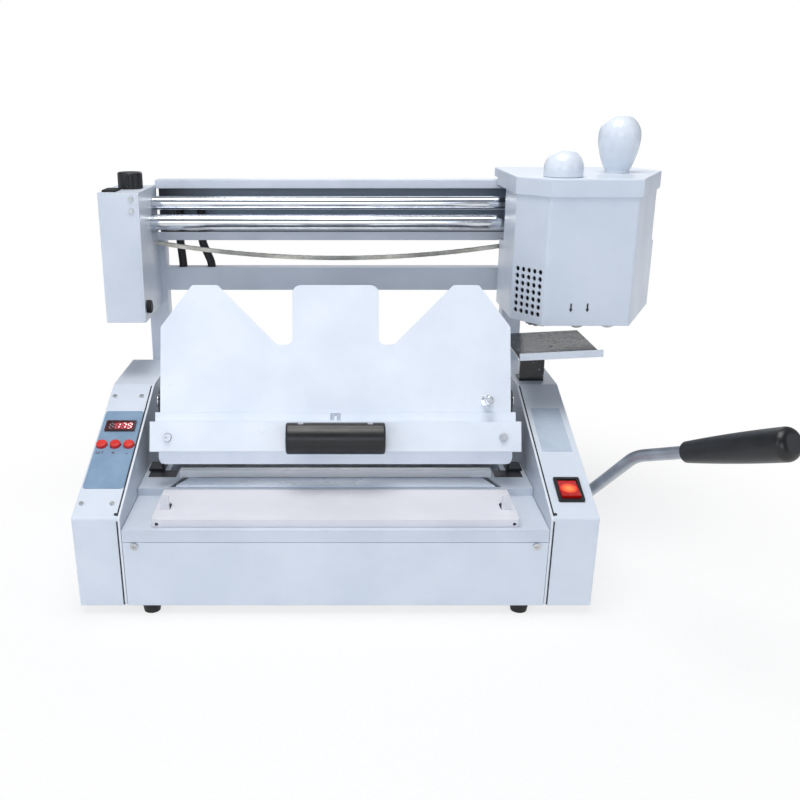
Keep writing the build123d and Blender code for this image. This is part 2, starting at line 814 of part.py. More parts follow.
with BuildPart() as clamp_grip:
    with BuildSketch(clamp_side.offset(-grip_half_length)):
        with BuildLine():
            knuckle = CenterArc((grip_pin_front, grip_pin_up), grip_knuckle, 30, 150)
            Polyline(knuckle @ 1, (grip_back, grip_low + 4), (grip_back + 4, grip_low))
            ThreePointArc(
                (grip_back + 4, grip_low),
                (grip_pin_front + clamp_grip_belly, grip_low + clamp_grip_height * 0.38),
                knuckle @ 0,
            )
        make_face()
    extrude(amount=2 * grip_half_length)
    fillet(clamp_grip.faces().filter_by(Axis.X).edges(), 2)
    for place in lug_places:
        with BuildSketch(clamp_side.offset(-place - lug_width / 2 - 0.6)):
            with Locations((grip_back + 5.4, grip_pin_up)):
                Rectangle(15.6, 34)
        extrude(amount=lug_width + 1.2, mode=Mode.SUBTRACT)
    with BuildSketch(clamp_side.offset(-grip_half_length + 7)):
        with Locations((grip_pin_front, grip_pin_up)):
            Circle(grip_pin_radius + fit_gap)
    extrude(amount=2 * grip_half_length - 14, mode=Mode.SUBTRACT)
clamp_grip.part.label = "clamp_grip"
finished.append(clamp_grip.part)

# Upper frame: two folded posts, a cross bar and the beam that carries the rails
with BuildPart() as frame_posts:
    for side in (-1, 1):
        with BuildSketch(Plane.XY.offset(foot_height + sheet)):
            with Locations((side * (cabinet_inner + post_width / 2), post_front + post_depth / 2)):
                Rectangle(post_width, post_depth)
            with Locations((side * (cabinet_inner + post_width / 2), post_front + post_depth / 2 + plate)):
                Rectangle(post_width - 2 * plate, post_depth, mode=Mode.SUBTRACT)
        extrude(amount=beam_bottom - foot_height - sheet)
frame_posts.part.label = "frame_posts"
finished.append(frame_posts.part)

cable_line = beam_front + 14.0
with BuildPart() as cross_bar:
    with BuildSketch(Plane.YZ.offset(-cabinet_inner)):
        with Locations((post_front + 8, (cross_bar_bottom + cross_bar_top) / 2)):
            Rectangle(16, cross_bar_top - cross_bar_bottom)
        with Locations((post_front + 8 + plate, (cross_bar_bottom + cross_bar_top) / 2)):
            Rectangle(16, cross_bar_top - cross_bar_bottom - 2 * plate, mode=Mode.SUBTRACT)
    extrude(amount=2 * cabinet_inner)
    with BuildSketch(Plane.XY.offset(cross_bar_top)):
        for upper, lower in cable_places:
            with Locations((lower, cable_line)):
                Circle(cable_radius + 1)
    extrude(amount=-plate, mode=Mode.SUBTRACT)
cross_bar.part.label = "cross_bar"
finished.append(cross_bar.part)

with BuildPart() as top_beam:
    with BuildSketch(Plane.YZ.offset(beam_left)):
        with BuildLine():
            Polyline(
                (beam_front, beam_top),
                (beam_front + beam_web, beam_top),
                (beam_front + beam_web, beam_bottom),
                (beam_front, beam_bottom),
                (beam_front, beam_bottom + beam_lip),
                (beam_front + plate, beam_bottom + beam_lip),
                (beam_front + plate, beam_bottom + plate),
                (beam_front + beam_web - plate, beam_bottom + plate),
                (beam_front + beam_web - plate, beam_top - plate),
                (beam_front + plate, beam_top - plate),
                (beam_front + plate, beam_top - beam_lip),
                (beam_front, beam_top - beam_lip),
                close=True,
            )
        make_face()
    extrude(amount=beam_right - beam_left)
    with BuildSketch(Plane.XY.offset(beam_bottom)):
        for upper, lower in cable_places:
            with Locations((upper, cable_line)):
                Circle(cable_radius + 1)
    extrude(amount=plate, mode=Mode.SUBTRACT)
top_beam.part.label = "top_beam"
finished.append(top_beam.part)

with BuildPart() as rail_cables:
    for upper, lower in cable_places:
        with BuildLine() as cable_path:
            FilletPolyline(
                (upper, cable_line, beam_bottom + 40),
                (upper, cable_line, beam_bottom - 4),
                (lower, cable_line, cross_bar_top + 4),
                (lower, cable_line, cross_bar_bottom + 8),
                radius=cable_bend,
            )
        with BuildSketch(Plane.XY.offset(beam_bottom + 40)):
            with Locations((upper, cable_line)):
                Circle(cable_radius)
        sweep(path=cable_path.line)
rail_cables.part.label = "rail_cables"
finished.append(rail_cables.part)

rail_end = beam_right - 1
with BuildPart() as guide_rails:
    for depth, height, radius in (
        (lower_rail_depth, lower_rail_height, lower_rail_radius),
        (upper_rail_depth, upper_rail_height, upper_rail_radius),
    ):
        with BuildSketch(Plane.YZ.offset(-end_block_inner - plate)):
            with Locations((depth, height)):
                Circle(radius)
        extrude(amount=rail_end + end_block_inner + plate)
    chamfer(guide_rails.edges().filter_by(GeomType.CIRCLE), 0.6)
guide_rails.part.label = "guide_rails"
finished.append(guide_rails.part)

# Rail end plates: the left bracket and the right plate that hold the rails
with BuildPart() as rail_end_plates:
    for place, front, back, low, high in (
        (-end_block_inner - plate, end_block_front, post_front, end_block_bottom, end_block_top),
        (rail_end - 4, rail_notch_depth + 4, beam_front, rail_notch_height + 4, carriage_top - 4),
    ):
        with BuildSketch(Plane.YZ.offset(place)) as outline:
            with Locations(((front + back) / 2, (low + high) / 2)):
                Rectangle(back - front, high - low)
            fillet(outline.vertices().sort_by(Axis.X)[:2], 2)
            with Locations((lower_rail_depth, lower_rail_height)):
                Circle(lower_rail_radius + 0.01, mode=Mode.SUBTRACT)
            with Locations((upper_rail_depth, upper_rail_height)):
                Circle(upper_rail_radius + 0.01, mode=Mode.SUBTRACT)
        extrude(amount=plate)
rail_end_plates.part.label = "rail_end_plates"
finished.append(rail_end_plates.part)

# Left end block: folded cover on the bracket
with BuildPart() as left_end_block:
    block_length = beam_front - end_block_front
    with BuildSketch(Plane.XY.offset(end_block_bottom)):
        with Locations((-(end_block_outer + end_block_inner + plate) / 2, end_block_front + block_length / 2)):
            Rectangle(end_block_outer - end_block_inner - plate, block_length)
    extrude(amount=end_block_top - end_block_bottom)
    fillet(left_end_block.edges().filter_by(Axis.Z).sort_by(Axis.X)[:2], 2)
    offset(amount=-sheet, openings=[
        left_end_block.faces().sort_by(Axis.Z)[0],
        left_end_block.faces().sort_by(Axis.X)[-1],
    ])
    with BuildSketch(Plane.XY.offset(end_block_top)):
        with Locations((-(end_block_outer + end_block_inner) / 2 + 3, end_knob_depth)):
            Circle(4.2)
    extrude(amount=-sheet, mode=Mode.SUBTRACT)
left_end_block.part.label = "left_end_block"
finished.append(left_end_block.part)

knob_axis_place = -(end_block_outer + end_block_inner) / 2 + 3
with BuildPart() as end_knob:
    with Locations((knob_axis_place, end_knob_depth, end_block_top + gap)):
        Cylinder(end_knob_radius, end_knob_height, align=(Align.CENTER, Align.CENTER, Align.MIN))
    fillet(end_knob.edges().group_by(Axis.Z)[-1], 2)
    with BuildSketch(Plane.XY.offset(end_block_top + gap)):
        with Locations((knob_axis_place, end_knob_depth)):
            with PolarLocations(end_knob_radius + 0.9, 12):
                Circle(1.8)
    extrude(amount=end_knob_height - 3, mode=Mode.SUBTRACT)
    with BuildSketch(Plane.XY.offset(end_block_top + gap)):
        with Locations((knob_axis_place, end_knob_depth)):
            Circle(4)
    extrude(amount=-22)
end_knob.part.label = "end_knob"
finished.append(end_knob.part)

with BuildPart() as end_bumper:
    with BuildSketch(Plane.YZ.offset(-end_block_inner)):
        with Locations((end_block_front + 12, end_block_bottom + 15)):
            Circle(7)
    extrude(amount=5)
    fillet(end_bumper.edges().sort_by(Axis.X)[-1], 1.5)
end_bumper.part.label = "end_bumper"
finished.append(end_bumper.part)

# Carriage housing: folded shell, open below and behind, cut away for the rails
carriage_plan = [
    (carriage_left, carriage_back),
    (carriage_left, carriage_front + chamfer_depth),
    (carriage_left + chamfer_width, carriage_front),
    (right_front, carriage_front),
    (carriage_right, right_corner_depth),
    (carriage_right, carriage_back),
]
with BuildPart() as carriage_housing:
    with BuildSketch(Plane.XY.offset(carriage_bottom)) as outline:
        with BuildLine():
            Polyline(*carriage_plan, close=True)
        make_face()
        fillet(outline.vertices().sort_by(Axis.Y)[:2], 4)
    extrude(amount=carriage_top - carriage_bottom)
    offset(amount=-sheet, openings=[
        carriage_housing.faces().sort_by(Axis.Z)[0],
        carriage_housing.faces().sort_by(Axis.Z)[-1],
        carriage_housing.faces().sort_by(Axis.Y)[-1],
    ])
    with BuildSketch(Plane.YZ.offset(carriage_left - 1)):
        with Locations((carriage_back - 10, rail_notch_height + 40)):
            Rectangle(2 * (carriage_back - rail_notch_depth) - 20, 80)
    extrude(amount=carriage_right - carriage_left + 2, mode=Mode.SUBTRACT)
    chamfer_angle = degrees(atan2(chamfer_depth, chamfer_width))
    vent_plane = Plane(
        origin=(
            carriage_left + chamfer_width / 2,
            carriage_front + chamfer_depth / 2,
            carriage_bottom + vent_middle,
        ),
        x_dir=(chamfer_width, -chamfer_depth, 0),
        z_dir=(-chamfer_depth, -chamfer_width, 0),
    )
    with BuildSketch(vent_plane):
        with GridLocations(vent_pitch_across, vent_pitch_up, vent_columns, vent_rows):
            Circle(vent_radius)
    extrude(amount=-4, mode=Mode.SUBTRACT)
carriage_housing.part.label = "carriage_housing"
finished.append(carriage_housing.part)

# Carriage lid: shallow folded cap over the housing and the beam
lid_plan = [
    (carriage_left - lid_lap, lid_back),
    (carriage_left - lid_lap, carriage_front + chamfer_depth - lid_lap / 2),
    (carriage_left + chamfer_width - lid_lap / 2, carriage_front - lid_lap),
    (right_front + lid_lap, carriage_front - lid_lap),
    (carriage_right + lid_lap, right_corner_depth),
    (lid_back_right, lid_back),
]
with BuildPart() as carriage_lid:
    with BuildSketch(Plane.XY.offset(carriage_top - lid_overlap)):
        with BuildLine():
            Polyline(*lid_plan, close=True)
        make_face()
    extrude(amount=lid_top - carriage_top + lid_overlap)
    fillet(carriage_lid.edges().group_by(Axis.Z)[-1], 1.6)
    offset(amount=-sheet, openings=carriage_lid.faces().sort_by(Axis.Z)[0])
    with BuildSketch(Plane.XY.offset(carriage_top - lid_overlap)):
        with Locations(((carriage_left + carriage_right) / 2, lid_back - 5)):
            Rectangle(carriage_right - carriage_left + 20, 2 * (lid_back - beam_front) - 4)
    extrude(amount=lid_top - lid_back_skirt - carriage_top + lid_overlap, mode=Mode.SUBTRACT)
    with BuildSketch(Plane.XY.offset(lid_top)):
        with Locations(dome_place):
            Circle(dome_radius - 4.5)
        with Locations(knob_place):
            Circle(4)
    extrude(amount=-sheet, mode=Mode.SUBTRACT)
carriage_lid.part.label = "carriage_lid"
finished.append(carriage_lid.part)

# Push knob: round topped handle that narrows to a short foot, turned about Z
knob_centre = knob_height - knob_radius
with BuildPart() as push_knob:
    with BuildSketch(Plane(origin=(*knob_place, lid_top), x_dir=(1, 0, 0), z_dir=(0, -1, 0))):
        with BuildLine():
            Polyline(
                (0, -stud_length),
                (stud_radius, -stud_length),
                (stud_radius, 0),
                (knob_base_radius, 0),
                (knob_base_radius, knob_foot),
            )
            ThreePointArc(
                (knob_base_radius, knob_foot),
                (knob_radius - 2.4, knob_centre * 0.5),
                (knob_radius, knob_centre),
            )
            knob_round = CenterArc((0, knob_centre), knob_radius, 0, cap_sweep)
            Polyline(knob_round @ 1, (0, (knob_round @ 1).Y), (0, -stud_length))
        make_face()
    revolve(axis=Axis((*knob_place, lid_top), (0, 0, 1)))
push_knob.part.label = "push_knob"
finished.append(push_knob.part)

# Glue cap: domed stopper of the filler opening, lifted off to feed glue
dome_centre = dome_height - dome_radius
plug_radius = dome_radius - 5
with BuildPart() as glue_cap:
    with BuildSketch(Plane(origin=(*dome_place, lid_top), x_dir=(1, 0, 0), z_dir=(0, -1, 0))):
        with BuildLine():
            Polyline(
                (0, -6),
                (plug_radius, -6),
                (plug_radius, gap),
                (dome_radius, gap),
                (dome_radius, dome_centre),
            )
            dome_round = CenterArc((0, dome_centre), dome_radius, 0, cap_sweep)
            Polyline(dome_round @ 1, (0, (dome_round @ 1).Y), (0, -6))
        make_face()
    revolve(axis=Axis((*dome_place, lid_top), (0, 0, 1)))
glue_cap.part.label = "glue_cap"
finished.append(glue_cap.part)

# Slide block: bored block that runs on both rails
with BuildPart() as slide_block:
    with BuildSketch(Plane.YZ.offset(block_left)):
        with Locations(((block_front + block_back) / 2, (block_bottom + block_top) / 2)):
            RectangleRounded(block_back - block_front, block_top - block_bottom, 3)
        with Locations((lower_rail_depth, lower_rail_height)):
            Circle(lower_rail_radius + fit_gap, mode=Mode.SUBTRACT)
        with Locations((upper_rail_depth, upper_rail_height)):
            Circle(upper_rail_radius + fit_gap, mode=Mode.SUBTRACT)
    extrude(amount=block_right - block_left)
slide_block.part.label = "slide_block"
finished.append(slide_block.part)

# Chassis plate in front of the block, with the tank and motor on it
chassis_thickness = 3.0
with BuildPart() as carriage_chassis:
    with BuildSketch(Plane.XZ.offset(-block_front)):
        with Locations(((carriage_left + sheet + block_right) / 2, (chassis_bottom + block_top) / 2)):
            Rectangle(block_right - carriage_left - sheet, block_top - chassis_bottom)
        with Locations((sprocket_place, sprocket_height)):
            Circle(sprocket_stub + fit_gap, mode=Mode.SUBTRACT)
    extrude(amount=chassis_thickness)
carriage_chassis.part.label = "carriage_chassis"
finished.append(carriage_chassis.part)

with BuildPart() as mill_motor:
    motor_low = roller_bottom + 26
    with Locations((cutter_place, book_line, motor_low)):
        Cylinder(motor_radius, motor_height, align=(Align.CENTER, Align.CENTER, Align.MIN))
    fillet(mill_motor.edges().group_by(Axis.Z)[-1], 3)
    with BuildSketch(Plane.XY.offset(motor_low + 10)):
        with Locations((cutter_place, (book_line + block_front - chassis_thickness) / 2 + 5)):
            Rectangle(20, block_front - chassis_thickness - book_line - 10)
    extrude(amount=24)
mill_motor.part.label = "mill_motor"
finished.append(mill_motor.part)

# Milling cutter: toothed disc on a spindle, under the motor
with BuildPart() as milling_cutter:
    with BuildSketch(Plane.XY.offset(roller_bottom)):
        with Locations((cutter_place, book_line)):
            Circle(cutter_radius - 2.4)
            with PolarLocations(cutter_radius - 2.6, tooth_count):
                Rectangle(5, 3.2)
    extrude(amount=cutter_height)
    with BuildSketch(Plane.XY.offset(roller_bottom + cutter_height)):
        with Locations((cutter_place, book_line)):
            Circle(spindle_radius)
    extrude(amount=motor_low - gap - roller_bottom - cutter_height)
milling_cutter.part.label = "milling_cutter"
finished.append(milling_cutter.part)

# Glue tank: open box with the two glue rollers dipping into it from below
with BuildPart() as glue_tank:
    with BuildSketch(Plane.XY.offset(carriage_bottom + 1)):
        with Locations(((tank_left + tank_right) / 2, (tank_front + tank_back) / 2)):
            RectangleRounded(tank_right - tank_left, tank_back - tank_front, 4)
    extrude(amount=tank_top - carriage_bottom - 1)
    with BuildSketch(Plane.XY.offset(tank_top)):
        with Locations(((tank_left + tank_right) / 2, (tank_front + tank_back) / 2)):
            RectangleRounded(tank_right - tank_left - 7, tank_back - tank_front - 7, 2)
    extrude(amount=-(tank_top - carriage_bottom - 34), mode=Mode.SUBTRACT)
    with BuildSketch(Plane.XY.offset(carriage_bottom + 1)):
        with Locations(((tank_left + tank_right) / 2, book_line)):
            Rectangle(tank_right - tank_left - 4, roller_length + 2)
    extrude(amount=24, mode=Mode.SUBTRACT)
    with BuildSketch(Plane.XY.offset(tank_top - 24)):
        with Locations(((tank_left + tank_right) / 2, (tank_back + block_front - chassis_thickness) / 2)):
            Rectangle(tank_right - tank_left - 20, block_front - chassis_thickness - tank_back)
    extrude(amount=12)
    for place in (roller_left, roller_right):
        with BuildSketch(Plane.XZ.offset(-tank_front)):
            with Locations((place, roller_bottom + roller_radius)):
                Circle(axle_radius + fit_gap)
        extrude(amount=-(book_line - tank_front + roller_length / 2 + 12), mode=Mode.SUBTRACT)
glue_tank.part.label = "glue_tank"
finished.append(glue_tank.part)

# Glue rollers with their axles
for name, place in (("front_glue_roller", roller_left), ("rear_glue_roller", roller_right)):
    with BuildPart() as roller:
        roller_plane = Plane.XZ.offset(-(book_line - roller_length / 2))
        with BuildSketch(roller_plane):
            with Locations((place, roller_bottom + roller_radius)):
                Circle(roller_radius)
        extrude(amount=-roller_length)
        chamfer(roller.edges(), 0.8)
        with BuildSketch(Plane.XZ.offset(-(tank_front + 0.5))):
            with Locations((place, roller_bottom + roller_radius)):
                Circle(axle_radius)
        extrude(amount=-(book_line - tank_front + roller_length / 2 + 10))
    roller.part.label = name
    finished.append(roller.part)

# Drive sprocket on its stub, and the roller chain that it runs on
with BuildPart() as drive_sprocket:
    with BuildSketch(Plane.XZ.offset(-chain_depth - chain_roller_width / 2 + 0.4)):
        with Locations((sprocket_place, sprocket_height)):
            Circle(sprocket_radius + sprocket_tooth)
            with PolarLocations(sprocket_radius, sprocket_teeth, start_angle=90):
                Circle(chain_roller_radius + 2 * gap, mode=Mode.SUBTRACT)
    extrude(amount=chain_roller_width - 0.8)
    with BuildSketch(Plane.XZ.offset(-chain_depth + chain_roller_width / 2 - 0.4)):
        with Locations((sprocket_place, sprocket_height)):
            Circle(sprocket_stub)
    extrude(amount=chain_depth - block_front + chassis_thickness - chain_roller_width / 2)
drive_sprocket.part.label = "drive_sprocket"
finished.append(drive_sprocket.part)

# Roller chain: hangs in a shallow parabola, then passes over the sprocket to the right end
def chain_height(x):
    """Height of the chain's line at x: a sagging span, then a level run."""
    if x > sprocket_place:
        return chain_line
    middle = (beam_left + sprocket_place) / 2
    half = (sprocket_place - beam_left) / 2
    return chain_line - chain_sag * (1 - ((x - middle) / half) ** 2)


def chain_joints():
    """Roller centres, one pitch apart, found outwards from the top of the sprocket."""
    runs = []
    for way in (-1, 1):
        x, run = sprocket_place, []
        while beam_left + chain_pitch < x < beam_right - chain_pitch:
            step = way * chain_pitch / 2
            slope = (chain_height(x + step) - chain_height(x)) / step
            x += way * chain_pitch / sqrt(1 + slope**2)
            run.append((x, chain_height(x)))
        runs.append(run)
    return runs[0][::-1] + [(sprocket_place, chain_line)] + runs[1]


with BuildPart() as inner_link:
    for face in (-chain_roller_width / 2 - link_thickness, chain_roller_width / 2):
        with BuildSketch(Plane.XZ.offset(face)):
            chamfer(Rectangle(chain_pitch + link_height * 0.9, link_height * 0.8).vertices(), 1.4)
        extrude(amount=link_thickness)
    with BuildSketch(Plane.XZ.offset(-chain_roller_width / 2)):
        with GridLocations(chain_pitch, 1, 2, 1):
            RegularPolygon(chain_roller_radius, 6)
    extrude(amount=chain_roller_width)

with BuildPart() as outer_plate:
    with BuildSketch(Plane.XZ):
        chamfer(Rectangle(chain_pitch + link_height * 0.9, link_height * 0.8).vertices(), 1.4)
    extrude(amount=link_thickness)

joints = chain_joints()
plate_face = chain_roller_width / 2 + link_thickness + 0.02
links = []
for index, (start, end) in enumerate(zip(joints, joints[1:])):
    turn = -degrees(atan2(end[1] - start[1], end[0] - start[0]))
    x, z = (start[0] + end[0]) / 2, (start[1] + end[1]) / 2
    if index % 2:
        links.append(inner_link.part.moved(Location((x, chain_depth, z), (0, turn, 0))))
    else:
        near, far = chain_depth - plate_face, chain_depth + plate_face + link_thickness
        links.append(outer_plate.part.moved(Location((x, near, z), (0, turn, 0))))
        links.append(outer_plate.part.moved(Location((x, far, z), (0, turn, 0))))
with BuildPart() as chain_anchors:
    for place, edge in ((joints[0], beam_left), (joints[-1], rail_end - 4)):
        with BuildSketch(Plane.XZ.offset(-chain_depth - 1.2)):
            with Locations(((edge + place[0]) / 2, place[1])):
                Rectangle(abs(place[0] - edge), chain_anchor_height)
        extrude(amount=2.4)
drive_chain = Compound(children=links + chain_anchors.part.solids())
drive_chain.label = "drive_chain"
finished.append(drive_chain)

# Drip tray under the parked carriage, on a bracket that stands on the right cabinet
with BuildPart() as drip_tray:
    tray_plane = Plane(
        origin=(tray_left, tray_front, tray_height),
        x_dir=(cos(radians(tray_tilt)), 0, sin(radians(tray_tilt))),
        z_dir=(-sin(radians(tray_tilt)), 0, cos(radians(tray_tilt))),
    )
    with BuildSketch(tray_plane) as outline:
        with Locations(((tray_right - tray_left) / 2, (tray_back - tray_front) / 2)):
            Rectangle(tray_right - tray_left, tray_back - tray_front)
    extrude(amount=sheet)
    with BuildSketch(tray_plane):
        with Locations(((tray_right - tray_left) / 2, sheet / 2)):
            Rectangle(tray_right - tray_left, sheet)
    extrude(amount=tray_lip)
    bracket_left = cabinet_inner + 3
    with BuildSketch(Plane.XZ.offset(-(slope_depth + 14))):
        with BuildLine():
            Polyline(
                (bracket_left, top_height + gap),
                (bracket_left + 26, top_height + gap),
                (bracket_left + 26, tray_height + (bracket_left + 26 - tray_left) * tan(radians(tray_tilt)) + 0.5),
                (bracket_left, tray_height + (bracket_left - tray_left) * tan(radians(tray_tilt)) + 0.5),
                close=True,
            )
        make_face()
    extrude(amount=plate)
    with BuildSketch(Plane.XY.offset(top_height)):
        with Locations((bracket_left + 13, slope_depth + 14 + 8)):
            Rectangle(26, 20)
    extrude(amount=plate)
drip_tray.part.label = "drip_tray"
finished.append(drip_tray.part)

# Control panel: thin plate on the left slope, with a window and three buttons
with BuildPart() as control_panel:
    with BuildSketch(slope_plane(-panel_place, panel_start + panel_length / 2)):
        RectangleRounded(panel_width, panel_length, 3)
    extrude(amount=panel_thickness)
    with BuildSketch(slope_plane(-panel_place, display_along)):
        Rectangle(display_width - 2, display_length - 2)
    extrude(amount=panel_thickness, mode=Mode.SUBTRACT)
    with BuildSketch(slope_plane(-panel_place, button_along)):
        with GridLocations(button_pitch, 1, 3, 1):
            Circle(button_radius + button_gap)
    extrude(amount=panel_thickness, mode=Mode.SUBTRACT)
control_panel.part.label = "control_panel"
finished.append(control_panel.part)

with BuildPart() as display_window:
    with BuildSketch(slope_plane(-panel_place, display_along).offset(panel_thickness)):
        RectangleRounded(display_width, display_length, 1)
    extrude(amount=1.6)
    with BuildSketch(slope_plane(-panel_place, display_along).offset(panel_thickness)):
        Rectangle(display_width - 2 - gap, display_length - 2 - gap)
    extrude(amount=-5)
    with BuildSketch(slope_plane(-panel_place, display_along).offset(panel_thickness + 1.6)):
        Rectangle(display_width - 5, display_length - 4.5)
    extrude(amount=-0.8, mode=Mode.SUBTRACT)
display_window.part.label = "display_window"
finished.append(display_window.part)

for name, place in (("set_button", -1), ("up_button", 0), ("down_button", 1)):
    with BuildPart() as button:
        button_plane = slope_plane(-panel_place + place * button_pitch, button_along)
        with BuildSketch(button_plane.offset(-3)):
            Circle(button_radius)
        extrude(amount=3 + panel_thickness + button_height)
        fillet(button.faces().sort_by(Axis.Z)[-1].edges(), 1.6)
    button.part.label = name
    finished.append(button.part)

# Panel screws: two cross headed ones in the front panel, four small ones on the left slope
front_screw_height = 71.0
lean_angle = atan2(front_lean, knee_height - foot_height)
with BuildPart() as panel_screws:
    for side in (-1, 1):
        screw_plane = Plane(
            origin=(side * (cabinet_inner - 13), front_slope * (knee_height - front_screw_height), front_screw_height),
            x_dir=(1, 0, 0),
            z_dir=(0, -cos(lean_angle), -sin(lean_angle)),
        )
        with BuildSketch(screw_plane):
            Circle(screw_head_radius)
        extrude(amount=screw_head_height)
        with BuildSketch(screw_plane.offset(screw_head_height)):
            Rectangle(0.8, 4.4)
            Rectangle(4.4, 0.8)
        extrude(amount=-0.8, mode=Mode.SUBTRACT)
    for x in (-body_half_width + 5, -cabinet_inner - 8):
        for along in (19, 181):
            with BuildSketch(slope_plane(x, along)):
                Circle(2.2)
            extrude(amount=1)
panel_screws.part.label = "panel_screws"
finished.append(panel_screws.part)

# Power switch: bezel on the right slope with a rocker on a cross pin
switch_plane = slope_plane(panel_place, switch_along)
rocker_plane = Plane(origin=switch_plane.origin, x_dir=switch_plane.y_dir, z_dir=(1, 0, 0))
rocker_half = rocker_length / 2 - rocker_margin - rocker_end_gap
rocker_pin_half = rocker_width / 2 - rocker_margin + 1.0
with BuildPart() as switch_bezel:
    with BuildSketch(switch_plane):
        RectangleRounded(rocker_width, rocker_length, 1.5)
    extrude(amount=2)
    with BuildSketch(switch_plane):
        Rectangle(rocker_width - 2 - gap, rocker_length - 2 - gap)
    extrude(amount=-14)
    with BuildSketch(switch_plane.offset(2)):
        Rectangle(rocker_width - 2 * rocker_margin, rocker_length - 2 * rocker_margin)
    extrude(amount=-12, mode=Mode.SUBTRACT)
    with BuildSketch(rocker_plane.offset(-rocker_pin_half - gap)):
        Circle(rocker_pin_radius + fit_gap)
    extrude(amount=2 * (rocker_pin_half + gap), mode=Mode.SUBTRACT)
switch_bezel.part.label = "switch_bezel"
finished.append(switch_bezel.part)

with BuildPart() as power_rocker:
    with BuildSketch(rocker_plane.offset(-(rocker_width / 2 - rocker_margin - gap))):
        with BuildLine():
            Line((-rocker_half + 1, -4), (-rocker_half, 4.6))
            ThreePointArc((-rocker_half, 4.6), (0, 2.2), (rocker_half, 1.0))
            Polyline((rocker_half, 1.0), (rocker_half - 1, -4), (-rocker_half + 1, -4))
        make_face()
    extrude(amount=rocker_width - 2 * rocker_margin - 2 * gap)
    with BuildSketch(rocker_plane.offset(-rocker_pin_half)):
        Circle(rocker_pin_radius)
    extrude(amount=2 * rocker_pin_half)
power_rocker.part.label = "power_rocker"
finished.append(power_rocker.part)

# Power inlet on the rear of the right cabinet
inlet_plane = Plane(origin=(panel_place, body_depth, 40), x_dir=(-1, 0, 0), z_dir=(0, 1, 0))
with BuildPart() as power_inlet:
    with BuildSketch(inlet_plane):
        RectangleRounded(31, 24, 3)
    extrude(amount=2.4)
    with BuildSketch(inlet_plane.offset(2.4)):
        RectangleRounded(25, 17.5, 2)
    extrude(amount=-2, mode=Mode.SUBTRACT)
    with BuildSketch(inlet_plane.offset(0.4)):
        with Locations((-7, -1.5), (0, 2.5), (7, -1.5)):
            Rectangle(2, 4)
    extrude(amount=1.8)
power_inlet.part.label = "power_inlet"
finished.append(power_inlet.part)

# Rear panel between the side frames, and the cover over the rear of the book well
rear_deck_height = 144.0
well_back = pivot_depth + sqrt(plate_offset**2 + plate_above**2) + 6
with BuildPart() as rear_panel:
    with BuildSketch(Plane.XZ.offset(-frame_depth + sheet)):
        with Locations((0, 79)):
            Rectangle(2 * (frame_inner - gap), 130)
        with Locations((0, 70)):
            with GridLocations(1, 12, 1, 5):
                SlotOverall(90, 4, mode=Mode.SUBTRACT)
    extrude(amount=sheet)
    with BuildSketch(Plane.YZ.offset(-frame_inner + gap)):
        Polygon(
            (well_back, rear_deck_height - 18),
            (well_back, rear_deck_height),
            (frame_depth - sheet, rear_deck_height),
            (frame_depth - sheet, rear_deck_height - sheet),
            (well_back + sheet, rear_deck_height - sheet),
            (well_back + sheet, rear_deck_height - 18),
            align=None,
        )
    extrude(amount=2 * (frame_inner - gap))
rear_panel.part.label = "rear_panel"
finished.append(rear_panel.part)

# Electrics inside the body
with BuildPart() as body_electrics:
    with BuildSketch(Plane.YZ.offset(-cabinet_inner - 6)):
        with Locations((110, 60)):
            Rectangle(120, 70)
    extrude(amount=-1.6)
    with BuildSketch(Plane.YZ.offset(-cabinet_inner - 7.6)):
        with Locations((80, 60), (120, 48)):
            Rectangle(24, 30)
    extrude(amount=-12)
    with BuildSketch(Plane.YZ.offset(-cabinet_inner)):
        with Locations((110, 60)):
            with GridLocations(108, 58, 2, 2):
                Circle(3)
    extrude(amount=-6)
    with BuildSketch(Plane.XY.offset(foot_height + sheet)):
        with Locations((0, 54)):
            RectangleRounded(130, 60, 3)
    extrude(amount=46)
body_electrics.part.label = "body_electrics"
finished.append(body_electrics.part)

# The whole model stands on the desk with its box centred over the origin
os.makedirs("parts", exist_ok=True)
whole = Compound(children=[Compound(piece.solids()) for piece in finished]).bounding_box()
to_origin = Location((-whole.center().X, -whole.center().Y, -whole.min.Z))
for piece in finished:
    name = piece.label
    placed = piece.moved(to_origin)
    placed.label = name
    export_step(placed, f"parts/{name}.step")
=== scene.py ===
from math import atan2, cos, pi, radians, sin

import bmesh
import bpy
from mathutils import Matrix, Vector


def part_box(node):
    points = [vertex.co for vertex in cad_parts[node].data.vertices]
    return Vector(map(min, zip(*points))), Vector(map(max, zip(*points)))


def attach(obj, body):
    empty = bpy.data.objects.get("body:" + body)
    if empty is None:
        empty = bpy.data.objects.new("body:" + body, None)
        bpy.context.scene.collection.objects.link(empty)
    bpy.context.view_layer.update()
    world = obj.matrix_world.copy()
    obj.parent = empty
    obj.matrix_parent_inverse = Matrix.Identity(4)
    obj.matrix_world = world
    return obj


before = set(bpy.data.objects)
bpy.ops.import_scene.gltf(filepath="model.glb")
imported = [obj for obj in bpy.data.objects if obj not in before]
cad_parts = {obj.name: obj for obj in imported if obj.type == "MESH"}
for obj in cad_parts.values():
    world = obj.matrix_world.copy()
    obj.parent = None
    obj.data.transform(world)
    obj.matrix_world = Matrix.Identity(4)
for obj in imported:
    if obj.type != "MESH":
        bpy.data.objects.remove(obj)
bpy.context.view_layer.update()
bpy.ops.object.select_all(action="DESELECT")

MM = 0.001

